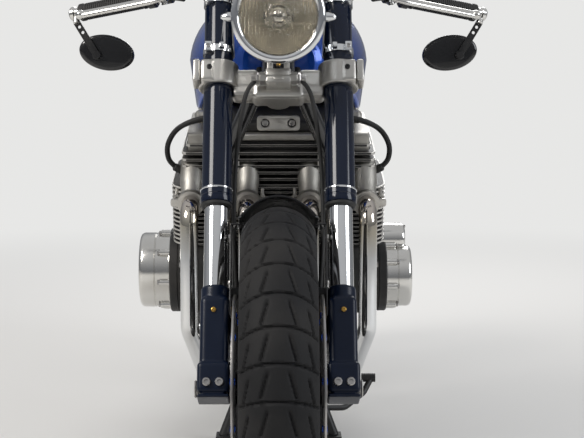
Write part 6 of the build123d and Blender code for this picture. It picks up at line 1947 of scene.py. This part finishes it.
# Footrests: drilled alloy hangers, pegs in ribbed rubber on folding joints, and a gear pedal and a
# brake pedal with ribbed rubber tips.
part = bmesh.new()
rubber = bmesh.new()
bright = bmesh.new()
for side in LEFT_RIGHT:
    seat = Matrix.Translation((side * 0.154, 0, 0)) @ along_x
    outline = [(0.122, 0.332), (0.128, 0.33), (0.182, 0.33), (0.188, 0.334), (0.248, 0.416),
               (0.248, 0.423), (0.219, 0.4385), (0.212, 0.438), (0.151, 0.382)]
    add_plate(part, [outline, circle_loop(0.15, 0.335, 0.01, 24), circle_loop(0.172, 0.358, 0.0085, 20),
                     circle_loop(0.191, 0.382, 0.008, 20), circle_loop(0.207, 0.404, 0.0065, 20)],
              0.0078, seat, 0.001)
    add_bar(part, (side * 0.08, 0.15, 0.378), (side * 0.151, 0.15, 0.378), 0.0068)
    add_bar(bright, (side * 0.158, 0.222, 0.424), (side * 0.186, 0.222, 0.424), 0.0078, 0.001)
    add_block(bright, (min(side * 0.16, side * 0.176), 0.2145, 0.414),
              (max(side * 0.16, side * 0.176), 0.2295, 0.434), 0.002)
    profile = [(0.0, 0.006), (0.0, 0.0098)]
    for k in range(11):
        at = 0.0015 + k * 0.0046
        profile += [(at, 0.0098), (at + 0.001, 0.0088), (at + 0.0022, 0.0088), (at + 0.0032, 0.0098)]
    profile += [(0.0538, 0.0098), (0.0538, 0.006)]
    add_ring(rubber, profile, (side * 0.185, 0.222, 0.424), (side, 0, 0), 28)
    add_bar(bright, (side * 0.2385, 0.222, 0.424), (side * 0.2402, 0.222, 0.424), 0.0098, 0.0006)
    line = bent_line([(side * 0.168, 0.222, 0.424), (side * 0.168, 0.15, 0.43),
                      (side * 0.168, 0.09, 0.42)], 0.02, 8)
    add_tube(bright, line, 0.0058, 16)
    profile = [(0.0, 0), (0.0, 0.0066)]
    for k in range(9):
        at = 0.003 + k * 0.004
        profile += [(at, 0.007), (at + 0.002, 0.0064)]
    profile += [(0.043, 0.0068), (0.044, 0.0055), (0.044, 0)]
    add_turned(rubber, profile, (side * 0.166, 0.09, 0.42), (side, 0, 0), 20)
piece("footrest_hangers", part, satin_alloy, "chassis", "polished_alloy", "footrests", crease=30)
piece("footrest_rubbers", rubber, black_rubber, "chassis", "rubber", crease=30)
piece("pedals", bright, polished_alloy, "chassis", "polished_alloy", crease=30)
screws("hanger_bolts", [((side * 0.1578, y, z), (side, 0, 0)) for side in LEFT_RIGHT
                        for y, z in ((0.15, 0.378), (0.222, 0.424))],
       0.006, 0.005, bare_steel, "chassis", "steel")


# Centre stand fittings: a ribbed rubber sleeve on the tread bar, thin rubber pads under both feet
# and the steel nuts of its pivot.
part = bmesh.new()
profile = [(0.001, 0.007), (0.001, 0.0104)]
for k in range(6):
    at = 0.003 + 0.0048 * k
    profile += [(at, 0.0104), (at + 0.0012, 0.0092), (at + 0.0024, 0.0092), (at + 0.0036, 0.0104)]
profile += [(0.0315, 0.0104), (0.0315, 0.007)]
add_ring(part, profile, (0.192, 0.172, 0.122), (1, 0, 0), 28)
for side in LEFT_RIGHT:
    add_block(part, (side * 0.123 - 0.0165, 0.0455, 0.0002), (side * 0.123 + 0.0165, 0.0945, 0.0022), 0.0006)
piece("stand_rubbers", part, black_rubber, "stand", "rubber", crease=30)
part = bmesh.new()
for side in LEFT_RIGHT:
    add_bar(part, (side * 0.1102, 0.12, 0.24), (side * 0.115, 0.12, 0.24), 0.0125, 0.0016, 6)
piece("stand_pivot_nuts", part, bare_steel, "chassis", "steel", crease=25)
dress("centre_stand", black_satin)


# Electrics box: moulded black plastic case under the seat with a lid line, ribs and two connectors,
# held by a rubber strap.
part = bmesh.new()
add_block(part, (-0.0672, 0.1468, 0.6008), (0.0672, 0.2992, 0.712), 0.009, 3)
add_block(part, (-0.068, 0.1462, 0.712), (0.068, 0.2998, 0.7418), 0.008, 3)
for side in LEFT_RIGHT:
    for k in range(5):
        y = 0.172 + 0.0255 * k
        add_block(part, (side * 0.0668 - 0.0012, y - 0.002, 0.618),
                  (side * 0.0668 + 0.0012, y + 0.002, 0.702), 0.0008)
    add_block(part, (side * 0.04 - 0.01, 0.144, 0.64), (side * 0.04 + 0.01, 0.148, 0.664), 0.0015)
piece("electrics_case", part, black_plastic, "chassis", "black_plastic", "electrics_box", crease=30)
part = bmesh.new()
for low, high in (((-0.0692, 0.212, 0.6), (-0.0678, 0.234, 0.742)),
                  ((0.0678, 0.212, 0.6), (0.0692, 0.234, 0.742)),
                  ((-0.0692, 0.212, 0.7412), (0.0692, 0.234, 0.7426)),
                  ((-0.0692, 0.212, 0.5994), (0.0692, 0.234, 0.6008))):
    add_block(part, low, high, 0.0004, 1)
piece("electrics_strap", part, black_rubber, "chassis", "rubber")


# Tank: a smooth blue shell through five arched sections, with a rolled lip along its lower edge,
# a tunnel over the frame's spine, a round filler under a locking cap and a fuel tap on the left.
def add_hull(part, rows):
    """Closed hull over rows of (y, loop of (x, z)), with both ends filled."""
    rings = [[part.verts.new((x, y, z)) for x, z in loop] for y, loop in rows]
    for low, high in zip(rings, rings[1:]):
        join_rings(part, low, high)
    part.faces.new(rings[0])
    part.faces.new(rings[-1][::-1])
    bmesh.ops.triangulate(part, faces=[face for face in part.faces if len(face.verts) > 4])


blue_paint = finish("blue_paint", (0.004, 0.07, 0.42), (0.003, 0.048, 0.32), wear=0.6, rough=0.26,
                    spread=0.05, grain=2600, bump=0.015, patch=5, metallic=0.55, coat=1.0)
TANK_SECTIONS = ((0.07, -0.372, 0.905), (0.14, -0.3, 0.95), (0.177, -0.19, 0.968), (0.168, -0.06, 0.95),
                 (0.112, 0.095, 0.868))
TANK_BOTTOM = 0.752


def tank_half(half, y, top):
    """Right half of one section, from the ridge down the side and in under the tank."""
    wall = TANK_BOTTOM + (top - TANK_BOTTOM) * 0.45
    arc = three_point_arc((0, top), (half * 0.74, wall + (top - wall) * 0.78), (half, wall), 16)
    nose = 0.745 + (y + 0.196) / (-0.25 + 0.196) * 0.031 if y > -0.25 else 0.776 + (y + 0.25) / -0.15 * 0.03
    low = max(TANK_BOTTOM, nose)
    roof = max(low, 0.7575 + (y + 0.325) * 0.2126) if y < -0.118 else low + 0.006
    tuck = half * 0.93
    dent = 0.004 * max(0.0, 1 - ((y - 0.005) / 0.075) ** 2)
    side = [(half - (half - tuck) * k / 6 - dent * sin(pi * k / 6), wall + (low + 0.007 - wall) * k / 6)
            for k in range(1, 7)]
    tunnel = 0.901 + (y + 0.443) * (-0.101 / 0.573)
    inner = min(0.155, tuck - 0.008)
    under = [(tuck - 0.001, low + 0.003), (tuck - 0.004, low), (inner, low), (inner - 0.001, roof),
             (0.0345, roof), (0.0345, max(tunnel, roof + 0.001)), (0, max(tunnel, roof + 0.001))]
    return [*arc, *side, *under]


part = bmesh.new()
rows = []
for half, y, top in smooth_line(TANK_SECTIONS, 12):
    right = tank_half(half, y, top)
    loop = right + [(-x, z) for x, z in right[-2:0:-1]]
    rows.append((y, loop))
(first_y, first), (last_y, last) = rows[0], rows[-1]


def drawn_in(loop, share):
    """A section drawn in towards its middle, for a rounded end."""
    middle_z = sum(z for _, z in loop) / len(loop)
    return [(x * share, middle_z + (z - middle_z) * share) for x, z in loop]


rows = [(first_y, drawn_in(first, 0.93)), (first_y + 0.0012, drawn_in(first, 0.97)),
        (first_y + 0.0045, drawn_in(first, 0.995)), *rows[1:-1],
        (last_y - 0.0045, drawn_in(last, 0.997)), (last_y - 0.0012, drawn_in(last, 0.975)),
        (last_y, drawn_in(last, 0.94))]
add_hull(part, rows)
piece("tank_shell", part, blue_paint, "chassis", "blue_paint", "tank", crease=50)
part = bmesh.new()
cap_at = Vector((0, -0.15, 0.956))
add_ring(part, [(0.002, 0.029), (0.002, 0.037), (0.0065, 0.0378), (0.0125, 0.0372), (0.014, 0.035),
                (0.0128, 0.0325), (0.0128, 0.029)], cap_at, (0, 0, 1), 64)
add_turned(part, [(0.01, 0), (0.01, 0.0308), (0.016, 0.0312), (0.0178, 0.03), (0.0186, 0.026),
                  (0.0192, 0.01), (0.0192, 0.006), (0.018, 0.0055), (0.018, 0)], cap_at, (0, 0, 1), 64)
add_block(part, (-0.013, -0.15 + 0.026, 0.96), (0.013, -0.15 + 0.037, 0.9735), 0.002)
add_block(part, (-0.0085, -0.15 - 0.0372, 0.961), (0.0085, -0.15 - 0.029, 0.972), 0.002)
piece("filler_cap", part, chrome, "chassis", "polished_alloy", crease=30)
screws("filler_cap_screws", [(cap_at + Vector((0.0335 * cos(radians(60 * k + 30)),
                                               0.0335 * sin(radians(60 * k + 30)), 0.013)), (0, 0, 1))
                             for k in range(6)],
       0.0024, 0.0014, bare_steel, "chassis", "steel")
part = bmesh.new()
for side in LEFT_RIGHT:
    add_ring(part, [(-0.01, 0.014), (-0.01, 0.019), (0.01, 0.019), (0.01, 0.014)],
             (side * 0.015, 0.07, 0.813), (1, 0, 0), 24)
add_bar(part, (0.06, 0.05, 0.756), (0.06, 0.05, 0.73), 0.011, 0.001, 20)
add_bar(part, (0.052, 0.05, 0.738), (0.086, 0.05, 0.738), 0.007, 0.001, 16)
add_block(part, (0.084, 0.046, 0.72), (0.089, 0.054, 0.744), 0.0015)
piece("fuel_tap", part, cast_alloy, "chassis", "cast_alloy", crease=30)


# Seat: a flat leather pad, swollen by its filling under Cloth, with sewn channels across it and a
# thread line beside each, on a thin black pan.
seat_leather = finish("seat_leather", (0.04, 0.02, 0.012), (0.085, 0.046, 0.028), wear=0.6, rough=0.46,
                      spread=0.18, grain=1400, bump=0.1, patch=16)
leather_tree = seat_leather.node_tree
leather_shader = leather_tree.nodes["Principled BSDF"]
leather_cells = add_node(leather_tree, "ShaderNodeTexVoronoi", {
    "Vector": (add_node(leather_tree, "ShaderNodeTexCoord"), "Object"), "Scale": 420,
})
feed(leather_shader, {"Normal": add_node(leather_tree, "ShaderNodeBump", {
    "Strength": 0.22, "Distance": 0.0008, "Height": leather_cells,
    "Normal": leather_shader.inputs["Normal"].links[0].from_node,
})})
SEAT_LOW = Vector((-0.112, 0.1, 0.796))
SEAT_HIGH = Vector((0.112, 0.47, 0.858))
part = bmesh.new()
add_block(part, SEAT_LOW + Vector((0.006, 0.006, 0.006)), SEAT_HIGH - Vector((0.006, 0.006, 0.009)), 0.018, 4)
pad = link("seat_pad", as_mesh("seat_pad", part))
melt = pad.modifiers.new("melt", "REMESH")
melt.mode = "VOXEL"
melt.voxel_size = 0.006
evaluated(pad)
before = [vertex.co.copy() for vertex in pad.data.vertices]
soft = pad.modifiers.new("filling", "CLOTH")
soft.settings.effector_weights.gravity = 0
soft.settings.use_pressure = True
soft.settings.uniform_pressure_force = 4
soft.point_cache.frame_start = 1
soft.point_cache.frame_end = 20
for frame_number in range(1, 21):
    scene.frame_set(frame_number)
evaluated(pad)
for vertex, start in zip(pad.data.vertices, before):
    move = vertex.co - start
    if move.length > 0.01:
        vertex.co = start + move * (0.01 / move.length)
scene.frame_set(1)
finer = pad.modifiers.new("finer", "SUBSURF")
finer.levels = 1
finer.render_levels = 1
evaluated(pad)
CHANNELS = [0.142 + 0.0358 * k for k in range(9)]
for vertex in pad.data.vertices:
    spot = vertex.co
    nearest = min(abs(spot.y - channel) for channel in CHANNELS)
    crown = max(0.0, min(1.0, (spot.z - 0.822) / 0.02)) * max(0.0, min(1.0, (0.106 - abs(spot.x)) / 0.02))
    spot.z -= 0.0058 * crown * max(0.0, 1 - (nearest / 0.0075) ** 2) ** 2
    for axis in range(3):
        spot[axis] = min(max(spot[axis], SEAT_LOW[axis] + 0.0005), SEAT_HIGH[axis] - 0.0005)
    spot.z = max(spot.z, 0.8005)
pad.data.materials.clear()
pad.data.materials.append(seat_leather)
pad.data.shade_smooth()
settle(pad, "chassis", "seat_leather", "seat")
seat_thread = finish("seat_thread", (0.42, 0.34, 0.22), (0.3, 0.24, 0.16), wear=0.5, rough=0.8, spread=0.1,
                     grain=1500, bump=0.1)


def pad_top(x, y):
    """Height of the seat's top at a place."""
    hit, spot, _, _ = pad.ray_cast(Vector((x, y, 0.9)), Vector((0, 0, -1)))
    return spot.z if hit else 0.85


stitch = bmesh.new()
add_turned(stitch, [(-0.0022, 0), (-0.0019, 0.0004), (-0.001, 0.00062), (0.001, 0.00062), (0.0019, 0.0004),
                    (0.0022, 0)], (0, 0, 0), (1, 0, 0), 6)
stitch_spots = []
for channel in CHANNELS:
    for offset in (-0.0052, 0.0052):
        for k in range(-15, 16):
            x = k * 0.0062
            stitch_spots.append((Vector((x, channel + offset, pad_top(x, channel + offset) + 0.0003)),
                                 (0, 0, 0)))
copies("seat_stitches", stitch, stitch_spots, seat_thread, "chassis", "seat_leather")
part = bmesh.new()
add_plate(part, [round_rect(0.1105, 0.1015, 0.4685, 0.034)], 0.0042, Matrix.Translation((0, 0, 0.7985)),
          0.0008)
for side in LEFT_RIGHT:
    for y in (0.18, 0.3, 0.42):
        add_bar(part, (side * 0.094, y, 0.7905), (side * 0.094, y, 0.797), 0.012, 0.001, 20)
piece("seat_pan", part, black_plastic, "chassis", "black_plastic", crease=30)


# Tail hump: a blue shell that narrows to the lamp, with a rolled front edge, a leather bump stop
# on its face and two screws each side.
HUMP_FOOT = 0.7968
HUMP_SECTIONS = ((0.108, 0.472, 0.905), (0.098, 0.56, 0.9), (0.056, 0.69, 0.85))
part = bmesh.new()
rows = []
for half, y, top in smooth_line(HUMP_SECTIONS, 12):
    rows.append((y, three_point_arc((-half, HUMP_FOOT), (0, top), (half, HUMP_FOOT), 40)))
(first_y, first), (last_y, last) = rows[0], rows[-1]


def shrink(loop, by):
    """An arch drawn in towards the middle of its foot."""
    return [(x * by, HUMP_FOOT + (z - HUMP_FOOT) * by) for x, z in loop]


rows = [(first_y + 0.006, shrink(first, 0.9)), (first_y + 0.001, shrink(first, 0.945)),
        (first_y, shrink(first, 0.965)), (first_y + 0.0012, shrink(first, 0.985)),
        (first_y + 0.005, shrink(first, 0.998)), *rows[1:-1], (last_y - 0.004, shrink(last, 0.99)),
        (last_y - 0.001, shrink(last, 0.95)), (last_y, shrink(last, 0.88))]
add_hull(part, rows)
piece("hump_shell", part, blue_paint, "chassis", "blue_paint", "tail_hump", crease=50)
part = bmesh.new()
add_block(part, (-0.066, 0.4705, 0.86), (0.066, 0.48, 0.8885), 0.0045, 4)
piece("hump_stop", part, seat_leather, "chassis", "seat_leather")
screws("hump_screws", [((side * 0.1035, 0.49, 0.808), (side, 0, 0.25)) for side in LEFT_RIGHT]
       + [((side * 0.0945, 0.58, 0.808), (side, 0.1, 0.25)) for side in LEFT_RIGHT], 0.0048, 0.003,
       bare_steel, "chassis", "steel")


# Tail lamp: red lens moulded in rings inside a bright bezel. Under it a pressed steel arm carries
# a bare enamelled plate.
part = bmesh.new()
lamp_at = Vector((0, 0.69, 0.818))
add_ring(part, [(-0.002, 0.015), (-0.002, 0.0195), (0.01, 0.0199), (0.0135, 0.0199), (0.015, 0.0185),
                (0.015, 0.0165), (0.012, 0.016)], lamp_at, (0, 1, 0), 48)
piece("tail_lamp_bezel", part, chrome, "chassis", "chrome", crease=30)
part = bmesh.new()
lens_profile = [(0.008, 0), (0.008, 0.0163), (0.016, 0.016)]
for k in range(6):
    radius = 0.015 - 0.0024 * k
    lens_profile += [(0.0195 - 0.0006 * (k == 0), radius), (0.0205 + 0.0002 * k, radius - 0.0012)]
lens_profile += [(0.0215, 0.0008), (0.0216, 0)]
add_turned(part, lens_profile, lamp_at, (0, 1, 0), 48)
red_lens = shader_material("red_lens", {
    "Base Color": (0.62, 0.01, 0.008, 1), "Roughness": 0.12, "Transmission Weight": 0.35, "Coat Weight": 1,
})
piece("tail_lamp_lens", part, red_lens, "chassis", "red_lens", "tail_lamp", crease=25)
part = bmesh.new()
add_block(part, (-0.0118, 0.655, 0.7625), (0.0118, 0.7345, 0.7675), 0.0012)

holes = [circle_loop(x, 0.73, 0.00325, 20) for x in (-0.04, 0.04)]
add_plate(part, [round_rect(0.0598, 0.6902, 0.7698, 0.006), *holes, circle_loop(0, 0.715, 0.012, 24)],
          0.0018, Matrix.Translation((0, 0.734, 0)) @ flat_back, 0.0004)
for x in (-0.0085, 0.0085):
    add_bar(part, (x * 0.6, 0.668, 0.7605), (x * 0.6, 0.668, 0.769), 0.003, 0.0004, 12)
piece("plate_arm", part, black_satin, "chassis", "black_metal", "plate_bracket", crease=30)
part = bmesh.new()
add_plate(part, [round_rect(0.059, 0.691, 0.769, 0.006), *holes], 0.0012,
          Matrix.Translation((0, 0.7358, 0)) @ flat_back, 0.0003)
plate_enamel = finish("plate_enamel", (0.62, 0.62, 0.58), (0.52, 0.51, 0.47), wear=0.5, rough=0.35,
                      spread=0.1, grain=900, bump=0.03, patch=14, coat=0.3)
piece("bare_plate", part, plate_enamel, "chassis", "black_metal", crease=30)
